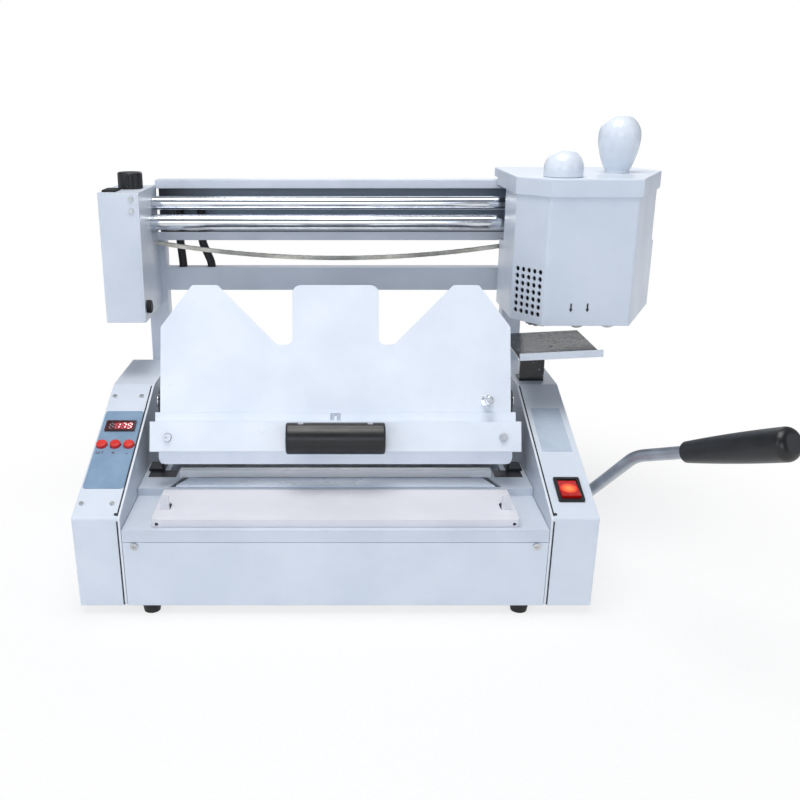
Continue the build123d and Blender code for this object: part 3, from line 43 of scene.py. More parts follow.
# Places on the machine, in metres, worked out from the CAD pieces. The knee is the edge where a
# cabinet cover's front meets its slanted top.
BODY_LOW, BODY_HIGH = (Vector(corner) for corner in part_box("side_frames"))
MIDDLE_X = (BODY_LOW.x + BODY_HIGH.x) / 2
COVER_LOW, COVER_HIGH = (Vector(corner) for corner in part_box("left_cabinet_cover"))
BODY_HALF_WIDTH, COVER_WIDTH = 235 * MM, 41 * MM
COVER_INNER = BODY_HALF_WIDTH - COVER_WIDTH
KNEE_Y = COVER_LOW.y
SLOPE_RISE, SLOPE_RUN = 67 * MM, 191 * MM
KNEE_Z = COVER_HIGH.z - SLOPE_RISE
SLOPE = atan2(SLOPE_RISE, SLOPE_RUN)


def slope_matrix(x, along, out=0.0):
    """Place on the slanted cabinet top: x across, along up the slope, out along its normal."""
    y = KNEE_Y + along * cos(SLOPE) - out * sin(SLOPE)
    z = KNEE_Z + along * sin(SLOPE) + out * cos(SLOPE)
    return Matrix.Translation((x, y, z)) @ Matrix.Rotation(SLOPE, 4, "X")


# Materials. A powder coat's orange peel has grains of this size and height.
PEEL, PEEL_HEIGHT = 0.9 * MM, 0.03 * MM


def linear(code, alpha=1.0):
    """Linear colour of an sRGB hex value."""
    parts = [int(code[i:i + 2], 16) / 255 for i in (1, 3, 5)]
    return [c / 12.92 if c <= 0.04045 else ((c + 0.055) / 1.055) ** 2.4 for c in parts] + [alpha]


def add(tree, kind, inputs=None, **settings):
    """Adds a node with its settings, and sets or links its inputs."""
    made = tree.nodes.new(kind)
    for name, value in settings.items():
        setattr(made, name, value)
    for socket, value in (inputs or {}).items():
        if isinstance(value, bpy.types.NodeSocket):
            tree.links.new(value, made.inputs[socket])
        else:
            made.inputs[socket].default_value = value
    return made


def start(name):
    """A new material with only its output, its tree and its Object coordinates."""
    material = bpy.data.materials.new(name)
    material.use_nodes = True
    tree = material.node_tree
    tree.nodes.clear()
    place = add(tree, "ShaderNodeTexCoord").outputs["Object"]
    return material, tree, place


def close(tree, shader):
    """Links a shader to a new material output."""
    add(tree, "ShaderNodeOutputMaterial", {"Surface": shader.outputs[0]})


def speckle(tree, place, size, detail=3.0, stretch=(1, 1, 1)):
    """Noise whose grains are about size across, stretched along an axis where stretch is small."""
    drawn = add(tree, "ShaderNodeMapping", {"Vector": place, "Scale": stretch}).outputs["Vector"]
    return add(
        tree, "ShaderNodeTexNoise",
        {"Vector": drawn, "Scale": 1 / size, "Detail": detail, "Roughness": 0.55},
    ).outputs["Fac"]


def tint(tree, factor, dark, light, low=0.35, high=0.65):
    """Colour that goes from dark to light as factor goes from low to high."""
    ramp = add(tree, "ShaderNodeValToRGB", {"Fac": factor})
    ramp.color_ramp.elements[0].position = low
    ramp.color_ramp.elements[1].position = high
    ramp.color_ramp.elements[0].color = linear(dark)
    ramp.color_ramp.elements[1].color = linear(light)
    return ramp.outputs["Color"]


def level(tree, factor, low, high):
    """Factor from 0.3 to 0.7 mapped to a value from low to high."""
    return mapped(tree, factor, (0.3, 0.7), (low, high))


def rounded(tree, radius):
    """Normal that looks rounded over folded and cut edges."""
    return add(tree, "ShaderNodeBevel", {"Radius": radius}, samples=6).outputs["Normal"]


def raised(tree, factor, height, normal):
    """Small relief of that height."""
    return add(
        tree, "ShaderNodeBump",
        {"Height": factor, "Distance": height, "Strength": 1.0, "Normal": normal},
    ).outputs["Normal"]


def mixed_colour(tree, factor, first, second):
    """Colour that is first where factor is 0 and second where it is 1."""
    return add(
        tree, "ShaderNodeMix", {0: factor, 6: first, 7: second}, data_type="RGBA",
    ).outputs[2]


def times(tree, first, second):
    """Product of two values."""
    return add(
        tree, "ShaderNodeMath", {0: first, 1: second}, operation="MULTIPLY",
    ).outputs["Value"]


def mapped(tree, factor, source, result, **settings):
    """Factor's source range mapped to the result range, and clamped to it."""
    return add(
        tree, "ShaderNodeMapRange",
        {"Value": factor, "From Min": source[0], "From Max": source[1],
         "To Min": result[0], "To Max": result[1]}, **settings,
    ).outputs["Result"]


def within(tree, place, axis, low, high):
    """1 where the place along that axis lies between low and high, else 0."""
    along = add(tree, "ShaderNodeSeparateXYZ", {"Vector": place}).outputs[axis]
    middle, half = (low + high) / 2, (high - low) / 2
    return add(
        tree, "ShaderNodeMath", {0: along, 1: middle, 2: half}, operation="COMPARE",
    ).outputs["Value"]


def powder_coat(name, dark, light, gloss=0.36):
    """Polyester powder coat on sheet steel: the sprayed powder flows out to a fine orange peel,
    which breaks up highlights, and handling leaves slightly duller patches."""
    material, tree, place = start(name)
    grain = speckle(tree, place, PEEL)
    patches = speckle(tree, place, 60 * MM, 4.0)
    shader = add(tree, "ShaderNodeBsdfPrincipled", {
        "Base Color": tint(tree, patches, dark, light),
        "Roughness": level(tree, patches, gloss + 0.07, gloss - 0.05),
        "IOR": 1.5,
        "Normal": raised(tree, grain, PEEL_HEIGHT, rounded(tree, 0.7 * MM)),
    })
    close(tree, shader)
    return material


def bare_metal(name, dark, light, rough, stretch=(1, 1, 1), relief=0.01 * MM):
    """Bare or plated metal: fine lines or grains left by its making, with cloudy patches."""
    material, tree, place = start(name)
    lines = speckle(tree, place, 0.5 * MM, 2.0, stretch)
    clouds = speckle(tree, place, 25 * MM)
    shader = add(tree, "ShaderNodeBsdfPrincipled", {
        "Base Color": tint(tree, clouds, dark, light),
        "Metallic": 1.0,
        "Roughness": level(tree, lines, rough * 0.8, rough * 1.25),
        "Normal": raised(tree, lines, relief, rounded(tree, 0.4 * MM)),
    })
    close(tree, shader)
    return material


def moulded(name, dark, light, rough, grain=0.35 * MM, relief=0.02 * MM, coat=0.0):
    """Injection moulded plastic, film or rubber: the tool's spark eroded or polished skin, with
    faint flow clouds."""
    material, tree, place = start(name)
    skin = speckle(tree, place, grain, 2.0)
    flow = speckle(tree, place, 18 * MM)
    shader = add(tree, "ShaderNodeBsdfPrincipled", {
        "Base Color": tint(tree, flow, dark, light),
        "Roughness": level(tree, flow, rough * 0.85, rough * 1.15),
        "IOR": 1.5,
        "Coat Weight": coat,
        "Coat Roughness": 0.08,
        "Normal": raised(tree, skin, relief, rounded(tree, 0.5 * MM)),
    })
    close(tree, shader)
    return material


def enamelled_tray():
    """Black stove enamel with dried white hot melt glue: glossy, with dull pale splashes,
    and a front lip whose folded sheet is coated white."""
    material, tree, place = start("black_stove_enamel_with_glue")
    splashes = speckle(tree, place, 9 * MM, 5.0)
    specks = speckle(tree, place, 2.2 * MM, 2.0)
    both = times(tree, splashes, specks)
    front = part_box("drip_tray")[0][1]
    lip = within(tree, place, "Y", front - 1 * MM, front + 1.55 * MM)
    enamel = tint(tree, both, "#1A1D21", "#A6ABAC", 0.37, 0.43)
    shader = add(tree, "ShaderNodeBsdfPrincipled", {
        "Base Color": mixed_colour(tree, lip, enamel, linear("#D3DAE4")),
        "Roughness": mapped(tree, both, (0.33, 0.4), (0.12, 0.6)),
        "IOR": 1.5,
        "Normal": raised(tree, both, 0.3 * MM, rounded(tree, 0.5 * MM)),
    })
    close(tree, shader)
    return material


def beam_coat_with_painted_shade():
    """The beam's folded channel: white powder coat on its lips and back, and inside it painted
    shade in a glossy blue black, darker towards the left end as a painted reflection."""
    material, tree, place = start("channel_coat_with_painted_shade")
    low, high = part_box("top_beam")
    deep = within(tree, place, "Y", low[1] + 1.6 * MM, high[1] - 1 * MM)
    inside = times(tree, deep, within(tree, place, "Z", low[2] + 1 * MM, high[2] - 1 * MM))
    across = add(tree, "ShaderNodeSeparateXYZ", {"Vector": place}).outputs["X"]
    reflection_fade = mapped(tree, across, (low[0], low[0] + 70 * MM), (0.0, 1.0))
    cloud = speckle(tree, place, 40 * MM)
    # painted shade inside the channel, darker towards the left end as a painted reflection
    shade = tint(tree, reflection_fade, "#22272F", "#7E8C9C", 0.1, 0.95)
    coat = tint(tree, cloud, "#D0D8E3", "#DAE1EC")
    grain = speckle(tree, place, PEEL)
    shader = add(tree, "ShaderNodeBsdfPrincipled", {
        "Base Color": mixed_colour(tree, inside, coat, shade),
        "Roughness": 0.34,
        "IOR": 1.5,
        "Normal": raised(tree, grain, PEEL_HEIGHT, rounded(tree, 0.7 * MM)),
    })
    close(tree, shader)
    return material


def shaded_frames():
    """Side frames: painted shade on the inner faces, a greyish tone in cloudy patches, and a
    lighter powder coat over most of the sheet's thickness, which shows on the cut edges."""
    material, tree, place = start("side_frame_coat_with_painted_shade")
    patches = speckle(tree, place, 45 * MM, 4.0)
    grain = speckle(tree, place, PEEL)
    low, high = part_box("side_frames")
    between = within(tree, place, "X", low[0] + 1.9 * MM, high[0] - 1.9 * MM)
    # painted shade: the inner faces between the outer sheets are greyer
    painted_wall_shade = tint(tree, patches, "#B9C1CC", "#C9D1DB")
    shader = add(tree, "ShaderNodeBsdfPrincipled", {
        "Base Color": mixed_colour(tree, between, linear("#E4E9F1"), painted_wall_shade),
        "Roughness": level(tree, patches, 0.45, 0.36),
        "IOR": 1.5,
        "Normal": raised(tree, grain, PEEL_HEIGHT, rounded(tree, 0.5 * MM)),
    })
    close(tree, shader)
    return material


def glued_aluminium():
    """Cast aluminium glue tank: grey sand grain, with whitish glue skin on its lower part."""
    material, tree, place = start("cast_aluminium_with_glue")
    sand = speckle(tree, place, 0.8 * MM, 2.0)
    skin = speckle(tree, place, 12 * MM, 4.0)
    shader = add(tree, "ShaderNodeBsdfPrincipled", {
        "Base Color": tint(tree, skin, "#B9BDC0", "#E9E7DF", 0.45, 0.55),
        "Metallic": mapped(tree, skin, (0.45, 0.55), (1.0, 0.0)),
        "Roughness": level(tree, sand, 0.4, 0.6),
        "Normal": raised(tree, sand, 0.06 * MM, rounded(tree, 0.6 * MM)),
    })
    close(tree, shader)
    return material


def glowing(name, base, light, strength, centre, reach):
    """Tinted polycarbonate with a lamp behind its centre: brightest there, darker towards its
    reach."""
    material, tree, place = start(name)
    mottle = speckle(tree, place, 5 * MM)
    distance = add(tree, "ShaderNodeVectorMath", {0: place, 1: centre}, operation="DISTANCE")
    near = mapped(tree, distance.outputs["Value"], (reach * 0.15, reach), (1.0, 0.12))
    power = times(tree, near, level(tree, mottle, 0.8, 1.2))
    shader = add(tree, "ShaderNodeBsdfPrincipled", {
        "Base Color": tint(tree, near, base, light, 0.2, 0.9),
        "Roughness": 0.22,
        "IOR": 1.58,
        "Emission Color": tint(tree, near, base, light, 0.1, 0.9),
        "Emission Strength": times(tree, power, strength),
        "Normal": rounded(tree, 0.6 * MM),
    })
    close(tree, shader)
    return material


WHITE_COAT = powder_coat("white_powder_coat", "#D3DBE6", "#DBE2EC")
FRAME_COAT = powder_coat("frame_powder_coat", "#CBD3DE", "#D4DBE6")
CARRIAGE_COAT = powder_coat("carriage_powder_coat", "#CFD8E4", "#D6DEE9")
CLAMP_COAT = powder_coat("clamp_powder_coat", "#DFE6F0", "#E8EEF6", gloss=0.32)
NIP_COAT = powder_coat("pale_nip_coat", "#C4CFDD", "#CED8E5", gloss=0.28)
# painted light: the rear nip bar is coated whiter than the clamp so that its front looks lit
NIP_BAR_PAINTED_LIGHT = powder_coat("nip_bar_coat_painted_light", "#F3F6FA", "#FCFDFE", gloss=0.28)
TABLE_COAT = powder_coat("table_powder_coat", "#DDDDE3", "#E3E3E9")
# painted shade: black for the pivot ears and the deck sheets beside the nip bar, where the clamp's
# shade falls
BLACK_PAINTED_SHADE = powder_coat("black_painted_shade", "#1A1D22", "#24282E", gloss=0.32)
# the beam's coat, with painted shade and a painted reflection inside its channel
BEAM_COAT_AND_PAINTED_SHADE = beam_coat_with_painted_shade()
# side frames with painted shade on their inner faces
SIDE_COAT_AND_PAINTED_SHADE = shaded_frames()
MOTOR_PAINT = powder_coat("motor_paint", "#1B1C1F", "#26282C", gloss=0.3)
ZINC = bare_metal("zinc_plated_steel", "#B9BCC0", "#D5D7DA", 0.34)
GROUND = bare_metal("ground_steel", "#A9ADB3", "#C4C8CD", 0.28, (0.03, 1, 1))
ROD_CHROME = bare_metal(
    "hard_chromed_rod", "#C9CDD4", "#DCE0E6", 0.11, (0.02, 1, 1), relief=0.002 * MM,
)
LEVER_STEEL = bare_metal("bead_blasted_lever_steel", "#A3A7AE", "#B8BDC4", 0.36)
CUTTER_STEEL = bare_metal("tool_steel", "#8C9095", "#A7ABB0", 0.3)
CHAIN_NICKEL = bare_metal("nickel_plated_chain", "#A8A69E", "#D2D0C8", 0.26)
PIN_CHROME = bare_metal("polished_pin", "#CDD1D6", "#E3E6EA", 0.16)
BLACK_ABS = moulded("black_moulded_abs", "#101113", "#191A1D", 0.36)
BLACK_RUBBER = moulded(
    "black_rubber", "#121212", "#1C1C1C", 0.7, grain=0.6 * MM, relief=0.05 * MM,
)
BLACK_PVC = moulded("black_cable_pvc", "#0E0F11", "#17181B", 0.45)
WHITE_ABS = moulded(
    "white_moulded_abs", "#D9E0EA", "#E1E8F1", 0.24, relief=0.005 * MM, coat=0.4,
)
RED_ABS = moulded("red_moulded_abs", "#D42A24", "#E23A32", 0.3)
PANEL_FILM = moulded(
    "blue_grey_printed_film", "#7C97B2", "#86A1BB", 0.42, grain=0.25 * MM, relief=0.01 * MM,
)
LAMINATE = moulded("green_board_laminate", "#12502F", "#1B6A3F", 0.4)
TRAY_ENAMEL = enamelled_tray()
TANK_METAL = glued_aluminium()
WINDOW = moulded(
    "dark_red_display_window", "#3A0A0E", "#4A0E13", 0.12, relief=0.002 * MM, coat=0.5,
)

ROCKER_LOW, ROCKER_HIGH = (Vector(corner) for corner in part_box("power_rocker"))
ROCKER_LAMP = glowing(
    "lit_red_polycarbonate", "#B00E0B", "#FF6A38", 1.35,
    (ROCKER_LOW + ROCKER_HIGH) / 2 + Vector((0, 0, 3 * MM)), 9 * MM,
)

NODE_FINISH = {
    "base_pan": ZINC, "rubber_feet": BLACK_RUBBER, "side_frames": SIDE_COAT_AND_PAINTED_SHADE,
    "left_cabinet_cover": WHITE_COAT, "right_cabinet_cover": WHITE_COAT, "front_panel": WHITE_COAT,
    "deck": FRAME_COAT, "cover_table": TABLE_COAT, "front_nip_plate": NIP_COAT,
    "rear_nip_bar": NIP_BAR_PAINTED_LIGHT, "spine_platform": GROUND, "press_shaft": GROUND,
    "lever_hub": BLACK_ABS, "lever_rod": LEVER_STEEL, "lever_grip": BLACK_ABS,
    "back_plate": CLAMP_COAT, "back_jaw": GROUND, "clamp_arms": ZINC, "pivot_ears": BLACK_PAINTED_SHADE,
    "pivot_bushes": GROUND, "register_pin": PIN_CHROME, "jaw_angle": CLAMP_COAT,
    "jaw_bar": CLAMP_COAT, "jaw_screws": ZINC, "grip_lugs": ZINC, "clamp_grip": BLACK_ABS,
    "frame_posts": WHITE_COAT, "cross_bar": WHITE_COAT, "top_beam": BEAM_COAT_AND_PAINTED_SHADE,
    "rail_cables": BLACK_PVC, "guide_rails": ROD_CHROME,
    "rail_end_plates": WHITE_COAT, "left_end_block": WHITE_COAT, "end_knob": BLACK_ABS,
    "end_bumper": BLACK_RUBBER, "carriage_housing": CARRIAGE_COAT, "carriage_lid": CARRIAGE_COAT,
    "push_knob": WHITE_ABS, "glue_cap": WHITE_ABS, "slide_block": GROUND,
    "carriage_chassis": ZINC, "mill_motor": MOTOR_PAINT, "milling_cutter": CUTTER_STEEL,
    "glue_tank": TANK_METAL, "front_glue_roller": GROUND, "rear_glue_roller": GROUND,
    "drive_sprocket": GROUND, "drive_chain": CHAIN_NICKEL, "drip_tray": TRAY_ENAMEL,
    "control_panel": PANEL_FILM, "display_window": WINDOW, "set_button": RED_ABS,
    "up_button": RED_ABS, "down_button": RED_ABS, "panel_screws": ZINC,
    "switch_bezel": BLACK_ABS, "power_rocker": ROCKER_LAMP, "power_inlet": BLACK_ABS,
    "rear_panel": ZINC, "body_electrics": LAMINATE,
}
for name, finish in NODE_FINISH.items():
    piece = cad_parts[name]
    piece.data.materials.clear()
    piece.data.materials.append(finish)


# Pieces that the CAD leaves to this file

def settle(piece, matrix, finish, body):
    """Puts a piece's mesh at its place, with the object at the origin, and gives the piece its
    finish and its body."""
    piece.data.transform(matrix)
    piece.data.materials.clear()
    piece.data.materials.append(finish)
    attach(piece, body)
    bpy.ops.object.select_all(action="DESELECT")


def pick_facing(mesh, up=1):
    """Selects the faces that look up, or down where up is -1, in edit mode."""
    shape = bmesh.from_edit_mesh(mesh)
    for face in shape.faces:
        face.select = face.normal.z * up > 0.9
    shape.select_flush_mode()
    bmesh.update_edit_mesh(mesh)


def soft_slab(name, width, length, thick, rim):
    """Flat rectangular piece lying on z = 0, its top face drawn in to a bevelled rim."""
    bpy.ops.mesh.primitive_cube_add(size=1, location=(0, 0, 0))
    piece = bpy.context.object
    piece.name = name
    bpy.ops.object.mode_set(mode="EDIT")
    bpy.ops.transform.resize(value=(width, length, thick))
    bpy.ops.transform.translate(value=(0, 0, thick / 2))
    pick_facing(piece.data)
    bpy.ops.mesh.inset(thickness=rim, depth=0)
    bpy.ops.transform.translate(value=(0, 0, min(rim, thick) * 0.3))
    bpy.ops.object.mode_set(mode="OBJECT")
    bpy.ops.object.select_all(action="DESELECT")
    return piece


def letters(name, text, height, thick):
    """Printed mark: text turned into a thin mesh, centred on the origin."""
    bpy.ops.object.text_add(location=(0, 0, 0))
    piece = bpy.context.object
    piece.name = name
    piece.data.body = text
    piece.data.size = height
    piece.data.extrude = thick
    piece.data.align_x = "CENTER"
    piece.data.align_y = "CENTER"
    bpy.ops.object.convert(target="MESH")
    bpy.ops.object.select_all(action="DESELECT")
    return piece


# Number display: a digit's size, its bars' stroke and thickness, and each bar's middle as shares of
# the digit's width and height, with True for an upright bar
DIGIT_WIDTH, DIGIT_TALL = 3.7 * MM, 8.0 * MM
BAR_STROKE, BAR_THICK = 1.15 * MM, 0.12 * MM
BAR_PLACES = {
    "a": (0, 1 / 2, False), "g": (0, 0, False), "d": (0, -1 / 2, False),
    "f": (-1 / 2, 1 / 4, True), "b": (1 / 2, 1 / 4, True),
    "e": (-1 / 2, -1 / 4, True), "c": (1 / 2, -1 / 4, True),
}


def number_bars(name, shown):
    """One seven bar digit, its shown bars as long hexagons with bevelled edges."""
    bars = []
    for key in shown:
        x, y, upright = BAR_PLACES[key]
        bpy.ops.mesh.primitive_cylinder_add(
            vertices=6, radius=BAR_STROKE / 2, depth=BAR_THICK, location=(0, 0, 0),
        )
        bar = bpy.context.object
        bar.name = name + "_" + key
        bpy.ops.object.mode_set(mode="EDIT")
        shape = bmesh.from_edit_mesh(bar.data)
        stretch = (DIGIT_TALL / 2 if upright else DIGIT_WIDTH) - BAR_STROKE * 1.15
        for vertex in shape.verts:
            side = vertex.co.y if upright else vertex.co.x
            push = (1 if side > 0 else -1) * (stretch / 2 - BAR_STROKE / 2)
            vertex.select = abs(side) > BAR_STROKE * 0.1
            if vertex.select and upright:
                vertex.co.y += push
            elif vertex.select:
                vertex.co.x += push
            vertex.co.x += x * DIGIT_WIDTH
            vertex.co.y += y * DIGIT_TALL
        bmesh.update_edit_mesh(bar.data)
        bpy.ops.mesh.select_all(action="SELECT")
        bpy.ops.mesh.bevel(offset=BAR_THICK * 0.2, segments=1)
        bpy.ops.object.mode_set(mode="OBJECT")
        bars.append(bar)
    bpy.ops.object.select_all(action="DESELECT")
    for bar in bars:
        bar.select_set(True)
    bpy.context.view_layer.objects.active = bars[0]
    if len(bars) > 1:
        bpy.ops.object.join()
    digit = bpy.context.view_layer.objects.active
    digit.name = name
    bpy.ops.object.select_all(action="DESELECT")
    return digit


def slanted(amount):
    """Leans a flat digit to the right, as number displays do."""
    lean = Matrix.Identity(4)
    lean[0][1] = amount
    return lean


LIT_BAR = glowing("lit_number_bar", "#FF8A80", "#FFF0EC", 0.8, Vector((0, 0, 0)), 10.0)
DIM_BAR = moulded("unlit_number_bar", "#A08C92", "#B49FA4", 0.35, relief=0.002 * MM)
PRINT_INK = moulded("screen_print_ink", "#1C222A", "#262D36", 0.5, relief=0.002 * MM)
SEAM_BLACK = moulded("joint_shadow_sealant", "#1E2227", "#2A2F36", 0.6)
PLATE_FILM = moulded(
    "pale_plate_film", "#B4C2D2", "#BECBD9", 0.4, grain=0.25 * MM, relief=0.008 * MM,
)
GLUE = moulded(
    "dried_hot_melt_glue", "#C9CACB", "#E2E2DF", 0.3, grain=1.5 * MM, relief=0.2 * MM, coat=0.3,
)
LIT_WINDOW = moulded("lit_red_display_back", "#B81C2C", "#D03040", 0.2, relief=0.002 * MM)

# Slanted tops: the middle of panel and plate from the body's middle, the places up the slope from
# the knee, and how far the panel film and the display window stand out
PANEL_X = 214.5 * MM
LEFT_PANEL_X = MIDDLE_X - PANEL_X
PANEL_OUT = 0.6 * MM
WINDOW_OUT = PANEL_OUT + 0.85 * MM
FILM_GAP = 0.02 * MM
DISPLAY_ALONG, MARKS_ALONG, PLATE_ALONG = 130 * MM, 89 * MM, 126 * MM

# The first digit is unlit, and the others show 179 over their unlit bars
DIGIT_PITCH, DIGIT_LEAN, DIGIT_OUT = 6.0 * MM, 0.12, WINDOW_OUT + 0.1 * MM
ALL_BARS = "abcdefg"
SHOWN_BARS = ("", "bc", "abc", "abcdfg")
for index, lit_keys in enumerate(SHOWN_BARS):
    digit_x = LEFT_PANEL_X + (index - 1.5) * DIGIT_PITCH
    place = slope_matrix(digit_x, DISPLAY_ALONG, DIGIT_OUT)
    dark_keys = "".join(key for key in ALL_BARS if key not in lit_keys)
    for part, keys, finish in (("unlit", dark_keys, DIM_BAR), ("lit", lit_keys, LIT_BAR)):
        if keys:
            digit = number_bars(f"digit_{index + 1}_{part}", keys)
            settle(digit, place @ slanted(DIGIT_LEAN), finish, "base")
LIT_WIDTH, LIT_LENGTH, LIT_THICK, LIT_SHIFT = 18 * MM, 10.4 * MM, 0.06 * MM, 2.9 * MM
lit_back = soft_slab("display_lit_back", LIT_WIDTH, LIT_LENGTH, LIT_THICK, 0.5 * MM)
place = slope_matrix(LEFT_PANEL_X + LIT_SHIFT, DISPLAY_ALONG, WINDOW_OUT - LIT_THICK)
settle(lit_back, place, LIT_WINDOW, "base")

# Printed marks under the buttons: name, text, distance from the middle button and height, in mm
INK_THICK = 0.05 * MM
MARKS = (
    ("mark_set", "SET", -13.0, 5.2), ("mark_plus", "+", 0, 7.5), ("mark_minus", "-", 13.2, 8.5),
)
for name, text, shift, size in MARKS:
    place = slope_matrix(LEFT_PANEL_X + shift * MM, MARKS_ALONG, PANEL_OUT + 0.03 * MM)
    settle(letters(name, text, size * MM, INK_THICK), place, PRINT_INK, "base")

# Bare plate on the right slope
PLATE_WIDTH, PLATE_LENGTH, PLATE_THICK = 29 * MM, 68 * MM, 0.4 * MM
plate = soft_slab("right_slope_plate", PLATE_WIDTH, PLATE_LENGTH, PLATE_THICK, 0.5 * MM)
place = slope_matrix(MIDDLE_X + PANEL_X, PLATE_ALONG, FILM_GAP)
settle(plate, place, PLATE_FILM, "base")

# Dark joint between each cabinet cover and its side frame, down the slope and the leaning front
SIDES = ((-1, "left"), (1, "right"))
SEAM_WIDTH, SEAM_THICK, SEAM_RIM = 1.3 * MM, 0.25 * MM, 0.2 * MM
SLOPE_SEAM, SLOPE_SEAM_MIDDLE = 196 * MM, 101 * MM
FRONT_SEAM, FRONT_SEAM_DROP, FRONT_SEAM_BACK = 86 * MM, 46 * MM, 2.5 * MM
FRONT_LEAN = atan2(5, 90)
for side, name in SIDES:
    seam_x = MIDDLE_X + side * (COVER_INNER + 0.7 * MM)
    joint = soft_slab(f"{name}_slope_joint", SEAM_WIDTH, SLOPE_SEAM, SEAM_THICK, SEAM_RIM)
    place = slope_matrix(seam_x, SLOPE_SEAM_MIDDLE, 0.01 * MM)
    settle(joint, place, SEAM_BLACK, "base")
    front = soft_slab(f"{name}_front_joint", SEAM_WIDTH, FRONT_SEAM, SEAM_THICK, SEAM_RIM)
    place = (seam_x, KNEE_Y + FRONT_SEAM_BACK, KNEE_Z - FRONT_SEAM_DROP)
    upright = Matrix.Rotation(pi / 2 + FRONT_LEAN, 4, "X")
    settle(front, Matrix.Translation(place) @ upright, SEAM_BLACK, "base")

# Painted shade: black sheets on the deck beside the nip bar, where the clamp's shadow falls
DECK_HIGH = Vector(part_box("deck")[1])
BAR_LOW = Vector(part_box("rear_nip_bar")[0])
DECK_SHADE_X, DECK_SHADE_BACK = 173 * MM, 9.6 * MM
DECK_SHADE_WIDTH, DECK_SHADE_LENGTH, DECK_SHADE_THICK = 28 * MM, 17 * MM, 0.4 * MM
for side, name in SIDES:
    deck_shade = soft_slab(
        f"{name}_deck_painted_shade", DECK_SHADE_WIDTH, DECK_SHADE_LENGTH, DECK_SHADE_THICK, 0.6 * MM,
    )
    place = (MIDDLE_X + side * DECK_SHADE_X, BAR_LOW.y + DECK_SHADE_BACK, DECK_HIGH.z + FILM_GAP)
    settle(deck_shade, Matrix.Translation(place), BLACK_PAINTED_SHADE, "base")

# Down arrows printed on the carriage front: a shaft whose end widens and then runs to a point
HOUSING_LOW = Vector(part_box("carriage_housing")[0])
ARROW_PLACES, ARROW_UP = (234.5 * MM, 251.0 * MM), 20 * MM
SHAFT_SIZE = (1.7 * MM, 0.1 * MM, 5.5 * MM)
HEAD_LENGTH, HEAD_WIDENING, HEAD_POINT = 3.4 * MM, 2.3, 0.08
for index, arrow_x in enumerate(ARROW_PLACES):
    bpy.ops.mesh.primitive_cube_add(size=1, location=(0, 0, 0))
    arrow = bpy.context.object
    arrow.name = f"carriage_arrow_{index + 1}"
    bpy.ops.object.mode_set(mode="EDIT")
    bpy.ops.transform.resize(value=SHAFT_SIZE)
    pick_facing(arrow.data, up=-1)
    bpy.ops.mesh.extrude_region_move(TRANSFORM_OT_translate={"value": (0, 0, -0.01 * MM)})
    bpy.ops.transform.resize(value=(HEAD_WIDENING, 1, 1))
    bpy.ops.mesh.extrude_region_move(TRANSFORM_OT_translate={"value": (0, 0, -HEAD_LENGTH)})
    bpy.ops.transform.resize(value=(HEAD_POINT, 1, 1))
    bpy.ops.object.mode_set(mode="OBJECT")
    place = (MIDDLE_X + arrow_x, HOUSING_LOW.y - 0.04 * MM, HOUSING_LOW.z + ARROW_UP)
    settle(arrow, Matrix.Translation(place), PRINT_INK, "carriage")

# Painted shade: a dark sheet inside the carriage, behind the vent holes of its chamfered corner
CHAMFER_RUN, CHAMFER_DEPTH = 26 * MM, 36 * MM
VENT_SHADE_WIDTH, VENT_SHADE_TALL, VENT_SHADE_UP, VENT_SHADE_THICK = 39 * MM, 58 * MM, 31 * MM, 1.0 * MM
bpy.ops.mesh.primitive_grid_add(x_subdivisions=10, y_subdivisions=12, size=1, location=(0, 0, 0))
vent_shade_sheet = bpy.context.object
vent_shade_sheet.name = "vent_painted_shade"
bpy.ops.object.mode_set(mode="EDIT")
bpy.ops.transform.resize(value=(VENT_SHADE_WIDTH, VENT_SHADE_TALL, 1))
bpy.ops.transform.vertex_random(offset=0.25 * MM, uniform=0.0, normal=1.0, seed=5)
bpy.ops.object.mode_set(mode="OBJECT")
vent_shade_sheet.modifiers.new("vent_shade_thickness", "SOLIDIFY").thickness = VENT_SHADE_THICK
bpy.context.view_layer.objects.active = vent_shade_sheet
bpy.ops.object.modifier_apply(modifier="vent_shade_thickness")
chamfer_turn = Matrix.Rotation(-atan2(CHAMFER_DEPTH, CHAMFER_RUN), 4, "Z")
place = Matrix.Translation((
    HOUSING_LOW.x + CHAMFER_RUN / 2 + 2.9 * MM, HOUSING_LOW.y + CHAMFER_DEPTH / 2 + 2.1 * MM,
    HOUSING_LOW.z + VENT_SHADE_UP,
))
upright = Matrix.Rotation(pi / 2, 4, "X")
settle(vent_shade_sheet, place @ chamfer_turn @ upright, BLACK_RUBBER, "carriage")

# Dried glue hanging under the tank: place from its front left corner, width and depth, in mm
TANK_LOW = Vector(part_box("glue_tank")[0])
LUMPS = ((6, 4, 11, 6), (20, 3, 8, 7), (34, 4, 13, 6), (50, 4, 9, 5))
for index, (x, y, wide, deep) in enumerate(LUMPS):
    bpy.ops.mesh.primitive_ico_sphere_add(subdivisions=3, radius=1, location=(0, 0, 0))
    lump = bpy.context.object
    lump.name = f"glue_lump_{index + 1}"
    bpy.ops.object.mode_set(mode="EDIT")
    bpy.ops.transform.resize(value=(wide / 2 * MM, 4 * MM, deep / 2 * MM))
    bpy.ops.transform.vertex_random(offset=0.5 * MM, uniform=0.3, normal=0.6, seed=index + 3)
    bpy.ops.mesh.vertices_smooth(factor=0.5, repeat=2)
    bpy.ops.object.mode_set(mode="OBJECT")
    bpy.ops.object.shade_smooth()
    place = (TANK_LOW.x + x * MM, TANK_LOW.y + y * MM, TANK_LOW.z + 0.6 * MM)
    settle(lump, Matrix.Translation(place), GLUE, "carriage")

